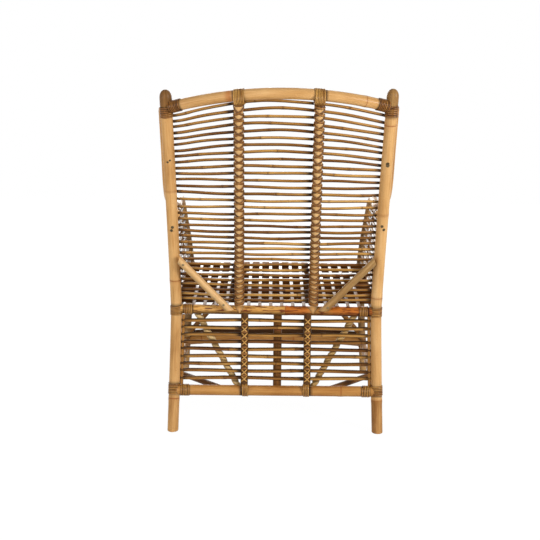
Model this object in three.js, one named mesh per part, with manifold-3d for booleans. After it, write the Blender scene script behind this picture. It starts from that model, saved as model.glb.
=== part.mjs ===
// High-back rattan armchair: bent poles, slatted back, sides and base, and wound peel bindings.
// Millimetres, +Z up. The chair faces -Y, and left and right are the sitter's, so left is +X.
import * as THREE from 'three';
import { mergeVertices } from 'three/addons/utils/BufferGeometryUtils.js';
import Module from 'manifold-3d';

const wasm = await Module();
wasm.setup();

// Fits
const CLEARANCE = 0.3;
const FUSE_DEPTH = 0.9;
const SEAT_BITE = 0.8;

// Rear posts
const POST_RADIUS = 16;
const POST_FOOT_X = 310;
const POST_SEAT_X = 301;
const POST_TOP_X = 306.95;
const POST_FOOT_RAKE = 52;
const POST_TOP_LEAN = 138.6;
const POST_RAKE_POWER = 1.4;
const POST_LEAN_POWER = 1.25;
const POST_TOP_Z = 995;
const EAR_RISE = 14;
const EAR_INSET = 0.5;

// Rails and stretchers
const REAR_RAIL_RADIUS = 14;
const REAR_RAIL_Z = 364;
const REAR_STRETCHER_RADIUS = 14.5;
const REAR_STRETCHER_Z = 123;
const CREST_RADIUS = 15;
const CREST_DROP = 35;
const CREST_RISE = 37;
const SIDE_RAIL_RADIUS = 13;
const SIDE_STRETCHER_RADIUS = 12;
const SIDE_STRETCHER_RISE = 1;
const FRONT_RAIL_RADIUS = 13;
const FRONT_RAIL_Z = 398;
const FRONT_RAIL_BOW = 42;
const FRONT_STRETCHER_RADIUS = 17;
const FRONT_STRETCHER_Z = 116;
const FRONT_STRETCHER_BOW = 58;

// Arm poles and wing rails
const ARM_RADIUS = 13;
const ARM_REAR_Z = 662;
const ARM_REAR_INSET = 10.8;
const ARM_FRONT_Z = 660;
const ARM_FLARE_X = 342;
const ARM_BEND_RADIUS = 75;
const LEG_DEPTH = 545;
const LEG_FOOT_X = 336;
const LEG_SEAT_X = 312;
const LEG_TOP_X = 335;
const LEG_FLARE_POWER = 1.5;
const WING_RADIUS = 11;
const WING_TOP_DROP = 29;
const WING_SPLIT_SHARE = 0.24;
const WING_OUTSET = 13.5;
const WING_LANDING_DEPTH = 190;
const WING_SWEEP_RISE = 34;
const WING_SWEEP_OUTSET = 20;
const WING_SWEEP_SHARE = 0.04;
const WING_TOUCH_SHARE = 0.5;

// Back panel
const SLAT_RADIUS = 5;
const SLAT_DROP = 22;
const SLAT_RISE = 34.2;
const SLAT_PITCH = 18.025;
const SLAT_PITCH_RATIO = 4 / 3;
const SLAT_ARCH_SHARE = 0.34;
const SLAT_SAG = 6;
const SLAT_END_SET = 8;
const BACK_BULGE_TOP = 62;
const BACK_BULGE_BOTTOM = 15;
const RIB_RADIUS = 11;
const RIB_X = 109;
const RIB_TONGUE = 4;
const RIB_END_GAP = 1.2;

// Braces
const BRACE_RADIUS = 9.5;
const BRACE_TOP_RISE = 164;
const BRACE_TOP_INSET = 12.5;
const BRACE_FOOT_X = 140;
const BRACE_FOOT_RISE = 2;
const FRONT_BRACE_RADIUS = 9;
const FRONT_BRACE_RISE = 22;
const FRONT_BRACE_TOP_X = 96;
const CORNER_BRACE_RADIUS = 9;
const CORNER_BRACE_REACH = 155;

// Lower rear panel
const LOWER_SLAT_DROP = 31;
const LOWER_SLAT_RISE = 35.6;
const LOWER_SLAT_PITCH = 21.8;
const LOWER_RIB_RADIUS = 8;
const LOWER_RIB_X = 97;
const LINER_RADIUS = 4.8;
const STRUT_RADIUS = 11;
const BASE_BRACE_RADIUS = 6.5;
const BASE_BRACE_TOP_X = 240;
const BASE_BRACE_FOOT_X = 117;

// Side panels
const SIDE_CANE_RADIUS = 4.5;
const SIDE_CANE_RISE = 26;
const SIDE_CANE_DROP = 40;
const SIDE_CANE_PITCH = 24.5;
const SIDE_UPRIGHT_RADIUS = 5;
const SIDE_UPRIGHT_SHARES = [0.349, 0.7615];

// Seat deck
const STRIP_WIDTH = 11;
const STRIP_THICKNESS = 2.6;
const STRIP_PITCH = 33.4;
const STRIP_COUNT = 16;
const CROSS_SLAT_THICKNESS = 6;
const CROSS_SLAT_REAR_SHARES = [0.083, 0.212, 0.366, 0.494, 0.645, 0.815];
const CROSS_SLAT_FRONT_SHARES = [0.204, 0.332, 0.486, 0.614, 0.708, 0.967];
const CROSS_SLAT_SET = 4;

// Bindings
const STRAND_RADIUS = 1.6;
const STRAND_PITCH = 4.1;
const WRAP_STRAND_RADIUS = 1.8;
const WRAP_PITCH = 24;
const WRAP_LOOPS = 7;
const EAR_LOOPS = 3;
const RAIL_LOOPS = 4;
const CREST_LOOPS = 5;
const LASH_LOOPS = 2;
const LOWER_STRAP_LOOPS = 1;
const STRAP_SLACK = 2.5;
const BINDING_SET = 9;
const RIB_LASH_ROW_COUNT = 3;
const RIB_LASH_SLACK = 0.6;
const LOWER_RIB_LASH_ROW_COUNT = 2;

// Facets
const POLE_SIDES = 8;
const CANE_SIDES = 6;
const SLAT_SIDES = 5;
const STRAND_SIDES = 3;
const CURVE_STEPS = 8;
const BEND_STEPS = 16;
const ARM_STEPS = 24;
const SLAT_STEPS = 6;
const WING_STEPS = 12;
const LINER_STEPS = 4;
const UPRIGHT_STEPS = 3;
const LOWER_RIB_STEPS = 3;
const DOME_STEPS = 3;
const POST_KNOTS = 12;
const ARM_KNOTS = 5;
const BEND_KNOTS = 3;
const LEG_KNOTS = 5;
const WELD = 1e-4;
const HALVINGS = 40;

const PALE_CANE = { color: 0xd2a566, roughness: 0.5, metalness: 0 };
const HONEY_CANE = { color: 0xbb8644, roughness: 0.52, metalness: 0 };
const DARK_CANE = { color: 0x9c6a33, roughness: 0.55, metalness: 0 };
const PEEL = { color: 0xa9793d, roughness: 0.48, metalness: 0 };

const SIDES = [{ name: 'left', sign: 1 }, { name: 'right', sign: -1 }];
const chair = new THREE.Group();
const rooms = [];

/** A curve given by a function of its parameter. */
class LawCurve extends THREE.Curve {
  constructor(law) {
    super();
    this.law = law;
  }

  getPoint(t, target = new THREE.Vector3()) {
    return target.copy(this.law(t));
  }
}

const point = (x, y, z) => new THREE.Vector3(x, y, z);
const mix = THREE.MathUtils.lerp;
const smoothCurve = (points) => new THREE.CatmullRomCurve3(points);
const straight = (a, b) => new THREE.LineCurve3(a, b);
const flatReach = (radius, sides) => radius * Math.cos(Math.PI / sides);

/** Turns a closed geometry into a solid whose faces point out. */
function toSolid(geometry) {
  const bare = geometry.clone();
  bare.deleteAttribute('normal');
  bare.deleteAttribute('uv');
  const merged = mergeVertices(bare, WELD);
  const positions = merged.attributes.position.array;
  const corners = Array.from(merged.index.array);
  const [a, b, c] = [point(), point(), point()];
  let volume = 0;
  for (let i = 0; i < corners.length; i += 3) {
    a.fromArray(positions, 3 * corners[i]);
    b.fromArray(positions, 3 * corners[i + 1]);
    c.fromArray(positions, 3 * corners[i + 2]);
    volume += a.dot(b.cross(c));
  }
  if (volume < 0) corners.reverse();
  const mesh = new wasm.Mesh({
    numProp: 3,
    vertProperties: Float32Array.from(positions),
    triVerts: Uint32Array.from(corners),
  });
  return new wasm.Manifold(mesh);
}

/** Gives a solid back as a geometry. */
function toGeometry(solid) {
  const mesh = solid.getMesh();
  const geometry = new THREE.BufferGeometry();
  geometry.setAttribute('position', new THREE.BufferAttribute(mesh.vertProperties, 3));
  geometry.setIndex(new THREE.BufferAttribute(mesh.triVerts, 1));
  geometry.computeVertexNormals();
  return geometry;
}

/** A round section with flat sides, to be drawn along a curve. */
function roundSection(radius, sides) {
  const corners = [];
  for (let i = 0; i < sides; i += 1) {
    const angle = (2 * Math.PI * i) / sides;
    corners.push(new THREE.Vector2(radius * Math.cos(angle), radius * Math.sin(angle)));
  }
  return new THREE.Shape(corners);
}

/** A cane along a curve, with the room that its neighbours leave for it and the rings of its facets. */
function cane(curve, radius, sides, steps) {
  const drawn = (r) => {
    const options = { extrudePath: curve, steps, bevelEnabled: false };
    return toSolid(new THREE.ExtrudeGeometry(roundSection(r, sides), options));
  };
  const { normals, binormals } = curve.computeFrenetFrames(steps, false);
  const centres = curve.getSpacedPoints(steps);
  const rings = centres.map((centre, i) => ({ centre, normal: normals[i], binormal: binormals[i] }));
  const length = curve.getLength();
  return { solid: drawn(radius), room: drawn(radius + CLEARANCE), rings, length, radius, sides };
}

/** A value of a cane's rings at a share of its length, straight from ring to ring as its facets are. */
function between({ rings }, t, pick) {
  const place = t * (rings.length - 1);
  const i = Math.min(Math.floor(place), rings.length - 2);
  return pick(rings[i]).clone().lerp(pick(rings[i + 1]), place - i);
}

const axisSpot = (piece, t) => between(piece, t, (ring) => ring.centre);

/** The way from a cane's axis to one corner of its section. */
function cornerWay(piece, t, corner) {
  const angle = (2 * Math.PI * corner) / piece.sides;
  const outward = ({ normal, binormal }) => {
    const way = normal.clone().multiplyScalar(Math.cos(angle));
    return way.addScaledVector(binormal, Math.sin(angle));
  };
  return between(piece, t, outward);
}

/** The corner of a cane's section that looks most nearly one way. */
function cornerToward(piece, t, way) {
  let best = 0;
  for (let corner = 1; corner < piece.sides; corner += 1) {
    if (cornerWay(piece, t, corner).dot(way) > cornerWay(piece, t, best).dot(way)) best = corner;
  }
  return best;
}

/** The share at which a rising line reaches a height. */
function shareAtHeight(spotAt, z) {
  let low = 0;
  let high = 1;
  for (let i = 0; i < HALVINGS; i += 1) {
    const middle = (low + high) / 2;
    if (spotAt(middle).z < z) low = middle;
    else high = middle;
  }
  return low;
}

/** Cuts a piece back to its neighbours and drops the offcut beyond the joint. */
function trimmed(solid, neighbours) {
  let rest = solid;
  for (const neighbour of neighbours) rest = rest.subtract(neighbour);
  const bodies = rest.decompose();
  bodies.sort((a, b) => b.volume() - a.volume());
  return bodies[0];
}

/** True where the boxes of two solids meet. */
function boxesMeet(one, other) {
  const a = one.boundingBox();
  const b = other.boundingBox();
  return [0, 1, 2].every((i) => a.min[i] <= b.max[i] && b.min[i] <= a.max[i]);
}

/** Adds a named piece to the chair. */
function addMesh(name, geometry, finish) {
  const mesh = new THREE.Mesh(geometry, new THREE.MeshStandardMaterial(finish));
  mesh.name = name;
  chair.add(mesh);
}

/** Seats a piece against all that stands already, adds it and keeps its room. */
function addPiece(name, piece, finish) {
  const near = rooms.filter((room) => boxesMeet(room, piece.solid));
  addMesh(name, toGeometry(trimmed(piece.solid, near)), finish);
  if (piece.room) rooms.push(piece.room);
}

// Places that several pieces share

function postX(z) {
  if (z < REAR_RAIL_Z) return mix(POST_SEAT_X, POST_FOOT_X, (REAR_RAIL_Z - z) / REAR_RAIL_Z);
  return mix(POST_SEAT_X, POST_TOP_X, (z - REAR_RAIL_Z) / (POST_TOP_Z - REAR_RAIL_Z));
}

function postY(z) {
  if (z < REAR_RAIL_Z) return POST_FOOT_RAKE * ((REAR_RAIL_Z - z) / REAR_RAIL_Z) ** POST_RAKE_POWER;
  return POST_TOP_LEAN * ((z - REAR_RAIL_Z) / (POST_TOP_Z - REAR_RAIL_Z)) ** POST_LEAN_POWER;
}

const legBendZ = ARM_FRONT_Z - ARM_BEND_RADIUS;
const crestEndZ = POST_TOP_Z - CREST_DROP;
const wingTopZ = POST_TOP_Z - WING_TOP_DROP;
const wingSplitZ = mix(ARM_REAR_Z, wingTopZ, WING_SPLIT_SHARE);
const slatTopZ = crestEndZ + CREST_RISE - SLAT_DROP;
const slatSpan = slatTopZ - REAR_RAIL_Z - SLAT_RISE;
const slatCount = Math.round(slatSpan / SLAT_PITCH) + 1;
const braceTopZ = REAR_RAIL_Z + BRACE_TOP_RISE;
const frontBraceFootZ = FRONT_STRETCHER_Z + FRONT_BRACE_RISE;
const lowerSlatTopZ = REAR_RAIL_Z - LOWER_SLAT_DROP;
const lowerSlatSpan = lowerSlatTopZ - REAR_STRETCHER_Z - LOWER_SLAT_RISE;
const lowerSlatCount = Math.round(lowerSlatSpan / LOWER_SLAT_PITCH) + 1;
const sideCaneLowZ = FRONT_RAIL_Z + SIDE_CANE_RISE;
const sideCaneTopZ = ARM_FRONT_Z - SIDE_CANE_DROP;
const sideCaneCount = Math.round((sideCaneTopZ - sideCaneLowZ) / SIDE_CANE_PITCH) + 1;

function legX(z) {
  if (z < FRONT_RAIL_Z) return mix(LEG_SEAT_X, LEG_FOOT_X, (FRONT_RAIL_Z - z) / FRONT_RAIL_Z);
  return mix(LEG_SEAT_X, LEG_TOP_X, ((z - FRONT_RAIL_Z) / (legBendZ - FRONT_RAIL_Z)) ** LEG_FLARE_POWER);
}

/** A point on the level run of the arm, from 0 at the post to 1 where the front bend starts. */
function armPoint(t, sign) {
  const rearY = postY(ARM_REAR_Z);
  const x = mix(postX(ARM_REAR_Z) - ARM_REAR_INSET, ARM_FLARE_X, t);
  const y = mix(rearY, ARM_BEND_RADIUS - LEG_DEPTH, t);
  return point(sign * x, y, mix(ARM_REAR_Z, ARM_FRONT_Z, t));
}

/** How far along the arm's level run a depth behind the front lies. */
function armShare(y) {
  const rearY = postY(ARM_REAR_Z);
  return (rearY - y) / (rearY + LEG_DEPTH - ARM_BEND_RADIUS);
}

/** A point in the arm's front bend, from 0 on the level run to 1 on the leg. */
function bendPoint(t, sign) {
  const angle = (Math.PI / 2) * t;
  const x = mix(ARM_FLARE_X, LEG_TOP_X, t * t);
  const y = ARM_BEND_RADIUS - LEG_DEPTH - ARM_BEND_RADIUS * Math.sin(angle);
  return point(sign * x, y, legBendZ + ARM_BEND_RADIUS * Math.cos(angle));
}

/** The surface that the back slats follow. */
function backY(x, z) {
  const rise = (z - REAR_RAIL_Z) / (crestEndZ - REAR_RAIL_Z);
  const bulge = mix(BACK_BULGE_BOTTOM, BACK_BULGE_TOP, rise);
  return postY(z) - SLAT_END_SET + bulge * (1 - (x / postX(z)) ** 2);
}

/** The height of one back slat at a distance from the middle: wider apart and arched near the crest. */
function slatZ(row, x) {
  const share = row / (slatCount - 1);
  const ratio = SLAT_PITCH_RATIO;
  const middle = slatTopZ - (slatSpan * share * (2 * ratio - (ratio - 1) * share)) / (ratio + 1);
  const past = (share - SLAT_ARCH_SHARE) / (1 - SLAT_ARCH_SHARE);
  const arch = past < 0 ? CREST_RISE * (1 - share / SLAT_ARCH_SHARE) : -SLAT_SAG * Math.sin(Math.PI * past);
  return middle - arch * (x / POST_TOP_X) ** 2;
}

const slatReach = flatReach(SLAT_RADIUS, SLAT_SIDES);
const ribSet = slatReach + flatReach(RIB_RADIUS, CANE_SIDES) - FUSE_DEPTH;
const ribPoint = (z, sign) => point(sign * RIB_X, backY(RIB_X, z) + ribSet, z);
const crestSpan = postX(crestEndZ);
const ribShare = 1 - (RIB_X / crestSpan) ** 2;
const crestAtRibZ = crestEndZ + CREST_RISE * ribShare;
const crestBulge = (ribPoint(crestAtRibZ, 1).y - postY(crestEndZ)) / ribShare;

function crestPoint(t) {
  const u = 2 * t - 1;
  const swell = 1 - u * u;
  return point(u * crestSpan, postY(crestEndZ) + crestBulge * swell, crestEndZ + CREST_RISE * swell);
}

const lowerSlatZ = (row) => lowerSlatTopZ - (lowerSlatSpan * row) / (lowerSlatCount - 1);
const lowerRibSet = slatReach + flatReach(LOWER_RIB_RADIUS, CANE_SIDES) - FUSE_DEPTH;
const lowerRibPoint = (z, sign) => point(sign * LOWER_RIB_X, postY(z) + lowerRibSet, z);

/** How far from a cane's axis a strand on the corners of its section runs. */
const laidReach = (radius, sides, strand) => radius + (CLEARANCE + strand / 2) / Math.cos(Math.PI / sides);

/** The underside of the seat's lengthwise strips, which lie on the rear and front rails. */
function stripFloor(y) {
  const rear = REAR_RAIL_Z + REAR_RAIL_RADIUS + CLEARANCE;
  const front = FRONT_RAIL_Z + FRONT_RAIL_RADIUS + CLEARANCE;
  return mix(rear, front, -y / (LEG_DEPTH + FRONT_RAIL_BOW));
}

const deckSlope = Math.atan2(stripFloor(-LEG_DEPTH) - stripFloor(0), LEG_DEPTH);
const deckDrop = CROSS_SLAT_THICKNESS - FUSE_DEPTH / 2 + CLEARANCE + SIDE_RAIL_RADIUS;
const sideRailZ = (y) => stripFloor(y) - deckDrop;
const sideRailDrop = REAR_RAIL_Z - sideRailZ(0) + SIDE_RAIL_RADIUS - REAR_RAIL_RADIUS;
const sideRailX = (y) => mix(POST_SEAT_X, LEG_SEAT_X, -y / LEG_DEPTH);
const frontRailY = (x, bow) => -LEG_DEPTH - bow * (1 - (x / LEG_SEAT_X) ** 2);

// Frame

/** The block below the floor that cuts a foot flat. */
function belowFloor(x, y, radius) {
  const size = 8 * radius;
  const block = new THREE.BoxGeometry(size, size, size);
  block.translate(x, y, -size / 2);
  return toSolid(block);
}

/** A rear post, cut flat at the floor and domed at the ear. */
function rearPost(sign) {
  const route = [];
  for (let i = 0; i <= POST_KNOTS; i += 1) {
    const z = mix(-2 * POST_RADIUS, POST_TOP_Z, i / POST_KNOTS);
    route.push(point(sign * postX(z), postY(z), z));
  }
  const post = cane(smoothCurve(route), POST_RADIUS, POLE_SIDES, BEND_STEPS);
  const earRadius = POST_RADIUS - EAR_INSET;
  const profile = [new THREE.Vector2(0, -earRadius / 2), new THREE.Vector2(earRadius, -earRadius / 2)];
  for (let i = 0; i <= DOME_STEPS; i += 1) {
    const angle = (Math.PI / 2) * (i / DOME_STEPS);
    profile.push(new THREE.Vector2(earRadius * Math.cos(angle), EAR_RISE * Math.sin(angle)));
  }
  const dome = new THREE.LatheGeometry(profile, POLE_SIDES);
  dome.rotateX(Math.PI / 2);
  const lean = Math.atan2(postY(POST_TOP_Z) - postY(POST_TOP_Z - EAR_RISE), EAR_RISE);
  dome.rotateX(-lean);
  dome.translate(sign * postX(POST_TOP_Z), postY(POST_TOP_Z), POST_TOP_Z);
  const floor = belowFloor(sign * POST_FOOT_X, POST_FOOT_RAKE, POST_RADIUS);
  return { ...post, solid: trimmed(post.solid.add(toSolid(dome)), [floor]) };
}

/** An arm pole: along the arm, round the front bend and down to the foot. */
function armPole(sign) {
  const route = [];
  for (let i = 0; i <= ARM_KNOTS; i += 1) route.push(armPoint(i / ARM_KNOTS, sign));
  for (let i = 1; i <= BEND_KNOTS; i += 1) route.push(bendPoint(i / BEND_KNOTS, sign));
  for (let i = 1; i <= LEG_KNOTS; i += 1) {
    const z = mix(legBendZ, -2 * ARM_RADIUS, i / LEG_KNOTS);
    route.push(point(sign * legX(z), -LEG_DEPTH, z));
  }
  const pole = cane(smoothCurve(route), ARM_RADIUS, POLE_SIDES, ARM_STEPS);
  const floor = belowFloor(sign * LEG_FOOT_X, -LEG_DEPTH, ARM_RADIUS);
  return { ...pole, solid: trimmed(pole.solid, [floor]) };
}

/** A wing rail: down the front of the post, then forward until it runs out on the arm. */
function wingRail(sign) {
  const beside = POST_RADIUS + WING_RADIUS - SEAT_BITE;
  const ahead = Math.sqrt(beside ** 2 - WING_OUTSET ** 2);
  const route = [];
  for (let i = 0; i <= 2; i += 1) {
    const z = mix(wingTopZ, wingSplitZ, i / 2);
    route.push(point(sign * (postX(z) + WING_OUTSET), postY(z) - ahead, z));
  }
  const landing = armPoint(armShare(-WING_LANDING_DEPTH), sign);
  const touch = armPoint(armShare(-WING_LANDING_DEPTH * WING_TOUCH_SHARE), sign);
  const sweep = armPoint(armShare(-WING_LANDING_DEPTH * WING_SWEEP_SHARE), sign);
  route.push(point(sweep.x + sign * WING_SWEEP_OUTSET, sweep.y, sweep.z + WING_SWEEP_RISE));
  route.push(point(touch.x, touch.y, touch.z + WING_RADIUS));
  route.push(landing);
  return cane(smoothCurve(route), WING_RADIUS, CANE_SIDES, WING_STEPS);
}

const posts = {};
const arms = {};
for (const { name, sign } of SIDES) {
  posts[name] = rearPost(sign);
  addPiece(`rear_post_${name}`, posts[name], PALE_CANE);
}
for (const { name, sign } of SIDES) {
  arms[name] = armPole(sign);
  addPiece(`arm_pole_${name}`, arms[name], PALE_CANE);
}
const crest = cane(new LawCurve(crestPoint), CREST_RADIUS, POLE_SIDES, CURVE_STEPS);
addPiece('crest_rail', crest, PALE_CANE);
for (const { name, sign } of SIDES) addPiece(`wing_rail_${name}`, wingRail(sign), PALE_CANE);

/** A straight rail between the two rear posts at one height. */
function rearRail(z, radius) {
  const ends = SIDES.map(({ sign }) => point(sign * postX(z), postY(z), z));
  return cane(straight(ends[0], ends[1]), radius, POLE_SIDES, 1);
}

/** A rail between the front legs, bowed forward in plan. */
function frontRail(z, radius, bow) {
  const half = legX(z);
  const law = (t) => {
    const u = 2 * t - 1;
    return point(u * half, -LEG_DEPTH - bow * (1 - u * u), z);
  };
  return cane(new LawCurve(law), radius, POLE_SIDES, CURVE_STEPS);
}

const rearSeatRail = rearRail(REAR_RAIL_Z, REAR_RAIL_RADIUS);
const rearStretcher = rearRail(REAR_STRETCHER_Z, REAR_STRETCHER_RADIUS);
addPiece('rear_seat_rail', rearSeatRail, PALE_CANE);
addPiece('rear_stretcher', rearStretcher, PALE_CANE);
addPiece('front_seat_rail', frontRail(FRONT_RAIL_Z, FRONT_RAIL_RADIUS, FRONT_RAIL_BOW), HONEY_CANE);
const frontStretcher = frontRail(FRONT_STRETCHER_Z, FRONT_STRETCHER_RADIUS, FRONT_STRETCHER_BOW);
addPiece('front_stretcher', frontStretcher, HONEY_CANE);
const sideRails = {};
for (const { name, sign } of SIDES) {
  const rear = point(sign * POST_SEAT_X, 0, sideRailZ(0));
  const front = point(sign * LEG_SEAT_X, -LEG_DEPTH, sideRailZ(-LEG_DEPTH));
  sideRails[name] = cane(straight(rear, front), SIDE_RAIL_RADIUS, POLE_SIDES, 1);
  addPiece(`side_seat_rail_${name}`, sideRails[name], HONEY_CANE);
}
for (const { name, sign } of SIDES) {
  const z = FRONT_STRETCHER_Z + SIDE_STRETCHER_RISE;
  const rear = point(sign * postX(REAR_STRETCHER_Z), postY(REAR_STRETCHER_Z), REAR_STRETCHER_Z);
  const front = point(sign * legX(z), -LEG_DEPTH, z);
  const stretcher = cane(straight(rear, front), SIDE_STRETCHER_RADIUS, CANE_SIDES, 1);
  addPiece(`side_stretcher_${name}`, stretcher, HONEY_CANE);
}

// Braces

for (const { name, sign } of SIDES) {
  const behindPost = postY(braceTopZ) + POST_RADIUS + BRACE_RADIUS - SEAT_BITE;
  const behindRail = REAR_RAIL_RADIUS + BRACE_RADIUS - SEAT_BITE;
  const top = point(sign * (postX(braceTopZ) - BRACE_TOP_INSET), behindPost, braceTopZ);
  const foot = point(sign * BRACE_FOOT_X, behindRail, REAR_RAIL_Z + BRACE_FOOT_RISE);
  addPiece(`back_brace_${name}`, cane(straight(top, foot), BRACE_RADIUS, CANE_SIDES, 1), PALE_CANE);
}
for (const { name, sign } of SIDES) {
  const foot = point(sign * legX(frontBraceFootZ), -LEG_DEPTH, frontBraceFootZ);
  const top = point(sign * FRONT_BRACE_TOP_X, frontRailY(FRONT_BRACE_TOP_X, FRONT_RAIL_BOW), FRONT_RAIL_Z);
  addPiece(`front_brace_${name}`, cane(straight(foot, top), FRONT_BRACE_RADIUS, CANE_SIDES, 1), DARK_CANE);
}
for (const { name, sign } of SIDES) {
  const corner = point(sign * postX(REAR_STRETCHER_Z), postY(REAR_STRETCHER_Z), REAR_STRETCHER_Z);
  const ahead = point(corner.x, corner.y - CORNER_BRACE_REACH, corner.z);
  const inward = point(corner.x - sign * CORNER_BRACE_REACH, corner.y, corner.z);
  const brace = cane(straight(ahead, inward), CORNER_BRACE_RADIUS, CANE_SIDES, 1);
  addPiece(`corner_brace_${name}`, brace, DARK_CANE);
}

// Lower rear panel with the canes that stand against it

const seatJointHalf = REAR_RAIL_RADIUS + sideRailDrop;
const lashReach = (half) => half + LASH_LOOPS * STRAND_PITCH + 2 * STRAND_RADIUS + 3 * CLEARANCE;
for (const { name, sign } of SIDES) {
  const inset = POST_RADIUS + LINER_RADIUS + CLEARANCE;
  const foot = REAR_STRETCHER_Z + lashReach(REAR_STRETCHER_RADIUS);
  const top = REAR_RAIL_Z - lashReach(seatJointHalf);
  const law = (t) => {
    const z = mix(foot, top, t);
    return point(sign * (postX(z) - inset), postY(z), z);
  };
  addPiece(`liner_cane_${name}`, cane(new LawCurve(law), LINER_RADIUS, CANE_SIDES, LINER_STEPS), HONEY_CANE);
}

const lowerRibs = {};
for (const { name, sign } of SIDES) {
  const law = (t) => lowerRibPoint(mix(REAR_STRETCHER_Z, REAR_RAIL_Z - RIB_TONGUE - RIB_END_GAP, t), sign);
  lowerRibs[name] = cane(new LawCurve(law), LOWER_RIB_RADIUS, CANE_SIDES, LOWER_RIB_STEPS);
}

/** The lower slats on their two ribs. */
function lowerPanel() {
  let panel = null;
  for (let row = 0; row < lowerSlatCount; row += 1) {
    const z = lowerSlatZ(row);
    const half = postX(z) - POST_RADIUS - LINER_RADIUS;
    const span = straight(point(-half, postY(z), z), point(half, postY(z), z));
    const slat = cane(span, SLAT_RADIUS, SLAT_SIDES, 1);
    panel = panel ? panel.add(slat.solid) : slat.solid;
  }
  for (const { name } of SIDES) panel = panel.add(lowerRibs[name].solid);
  return { solid: panel };
}
addPiece('lower_rear_panel', lowerPanel(), HONEY_CANE);

/** How far in front of the lower slats' axes a cane of some outer radius stands. */
const aheadOfSlats = (outer) => SLAT_RADIUS + CLEARANCE + outer;

const strutLaw = (t) => {
  const z = mix(REAR_STRETCHER_Z, REAR_RAIL_Z, t);
  return point(0, postY(z) - aheadOfSlats(STRUT_RADIUS), z);
};
addPiece('rear_centre_strut', cane(new LawCurve(strutLaw), STRUT_RADIUS, CANE_SIDES, LINER_STEPS), DARK_CANE);

const wrapReach = laidReach(BASE_BRACE_RADIUS, CANE_SIDES, WRAP_STRAND_RADIUS) + WRAP_STRAND_RADIUS;
const baseBraces = {};
for (const { name, sign } of SIDES) {
  const law = (t) => {
    const z = mix(REAR_STRETCHER_Z, REAR_RAIL_Z, t);
    const x = mix(BASE_BRACE_FOOT_X, BASE_BRACE_TOP_X, t);
    return point(sign * x, postY(z) - aheadOfSlats(wrapReach), z);
  };
  baseBraces[name] = cane(new LawCurve(law), BASE_BRACE_RADIUS, CANE_SIDES, LINER_STEPS);
  addPiece(`base_brace_${name}`, baseBraces[name], HONEY_CANE);
}

// Back panel

const ribs = {};
for (const { name, sign } of SIDES) {
  const law = (t) => ribPoint(mix(REAR_RAIL_Z - RIB_TONGUE, crestAtRibZ, t), sign);
  ribs[name] = cane(new LawCurve(law), RIB_RADIUS, CANE_SIDES, CURVE_STEPS);
}

/** The slats of the back, each bent over the bulge, on their two upright ribs. */
function backPanel() {
  let panel = null;
  for (let row = 0; row < slatCount; row += 1) {
    const half = postX(slatZ(row, POST_TOP_X));
    const law = (t) => {
      const x = mix(-half, half, t);
      const z = slatZ(row, x);
      return point(x, backY(x, z), z);
    };
    const slat = cane(new LawCurve(law), SLAT_RADIUS, SLAT_SIDES, SLAT_STEPS);
    panel = panel ? panel.add(slat.solid) : slat.solid;
  }
  for (const { name } of SIDES) panel = panel.add(ribs[name].solid);
  return { solid: panel };
}
addPiece('back_panel', backPanel(), HONEY_CANE);

// Side panels

/** The canes of one side, from the post to the arm pole, on two uprights. */
function sidePanel(sign) {
  const frontEnd = (z) => {
    if (z < legBendZ) return point(sign * legX(z), -LEG_DEPTH, z);
    return bendPoint(Math.acos((z - legBendZ) / ARM_BEND_RADIUS) / (Math.PI / 2), sign);
  };
  const caneAt = (z) => straight(point(sign * postX(z), postY(z), z), frontEnd(z));
  let panel = null;
  for (let row = 0; row < sideCaneCount; row += 1) {
    const z = mix(sideCaneLowZ, sideCaneTopZ, row / (sideCaneCount - 1));
    const rod = cane(caneAt(z), SIDE_CANE_RADIUS, SLAT_SIDES, 1).solid;
    panel = panel ? panel.add(rod) : rod;
  }
  const caneReach = flatReach(SIDE_CANE_RADIUS, SLAT_SIDES);
  const outset = caneReach + flatReach(SIDE_UPRIGHT_RADIUS, CANE_SIDES) - FUSE_DEPTH;
  for (const share of SIDE_UPRIGHT_SHARES) {
    const depth = share * LEG_DEPTH;
    const arm = armPoint(armShare(-depth), sign);
    const atCane = (z) => {
      const line = caneAt(z);
      const along = (line.v1.y + depth) / (line.v1.y - line.v2.y);
      return point(mix(line.v1.x, line.v2.x, along) + sign * outset, -depth, z);
    };
    const foot = point(sign * (sideRailX(-depth) + outset), -depth, sideRailZ(-depth));
    const midZ = (sideCaneLowZ + sideCaneTopZ) / 2;
    const route = [foot, atCane(sideCaneLowZ), atCane(midZ), atCane(sideCaneTopZ), arm];
    panel = panel.add(cane(smoothCurve(route), SIDE_UPRIGHT_RADIUS, CANE_SIDES, UPRIGHT_STEPS).solid);
  }
  return { solid: panel };
}
for (const { name, sign } of SIDES) addPiece(`side_panel_${name}`, sidePanel(sign), DARK_CANE);

// Seat deck

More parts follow.
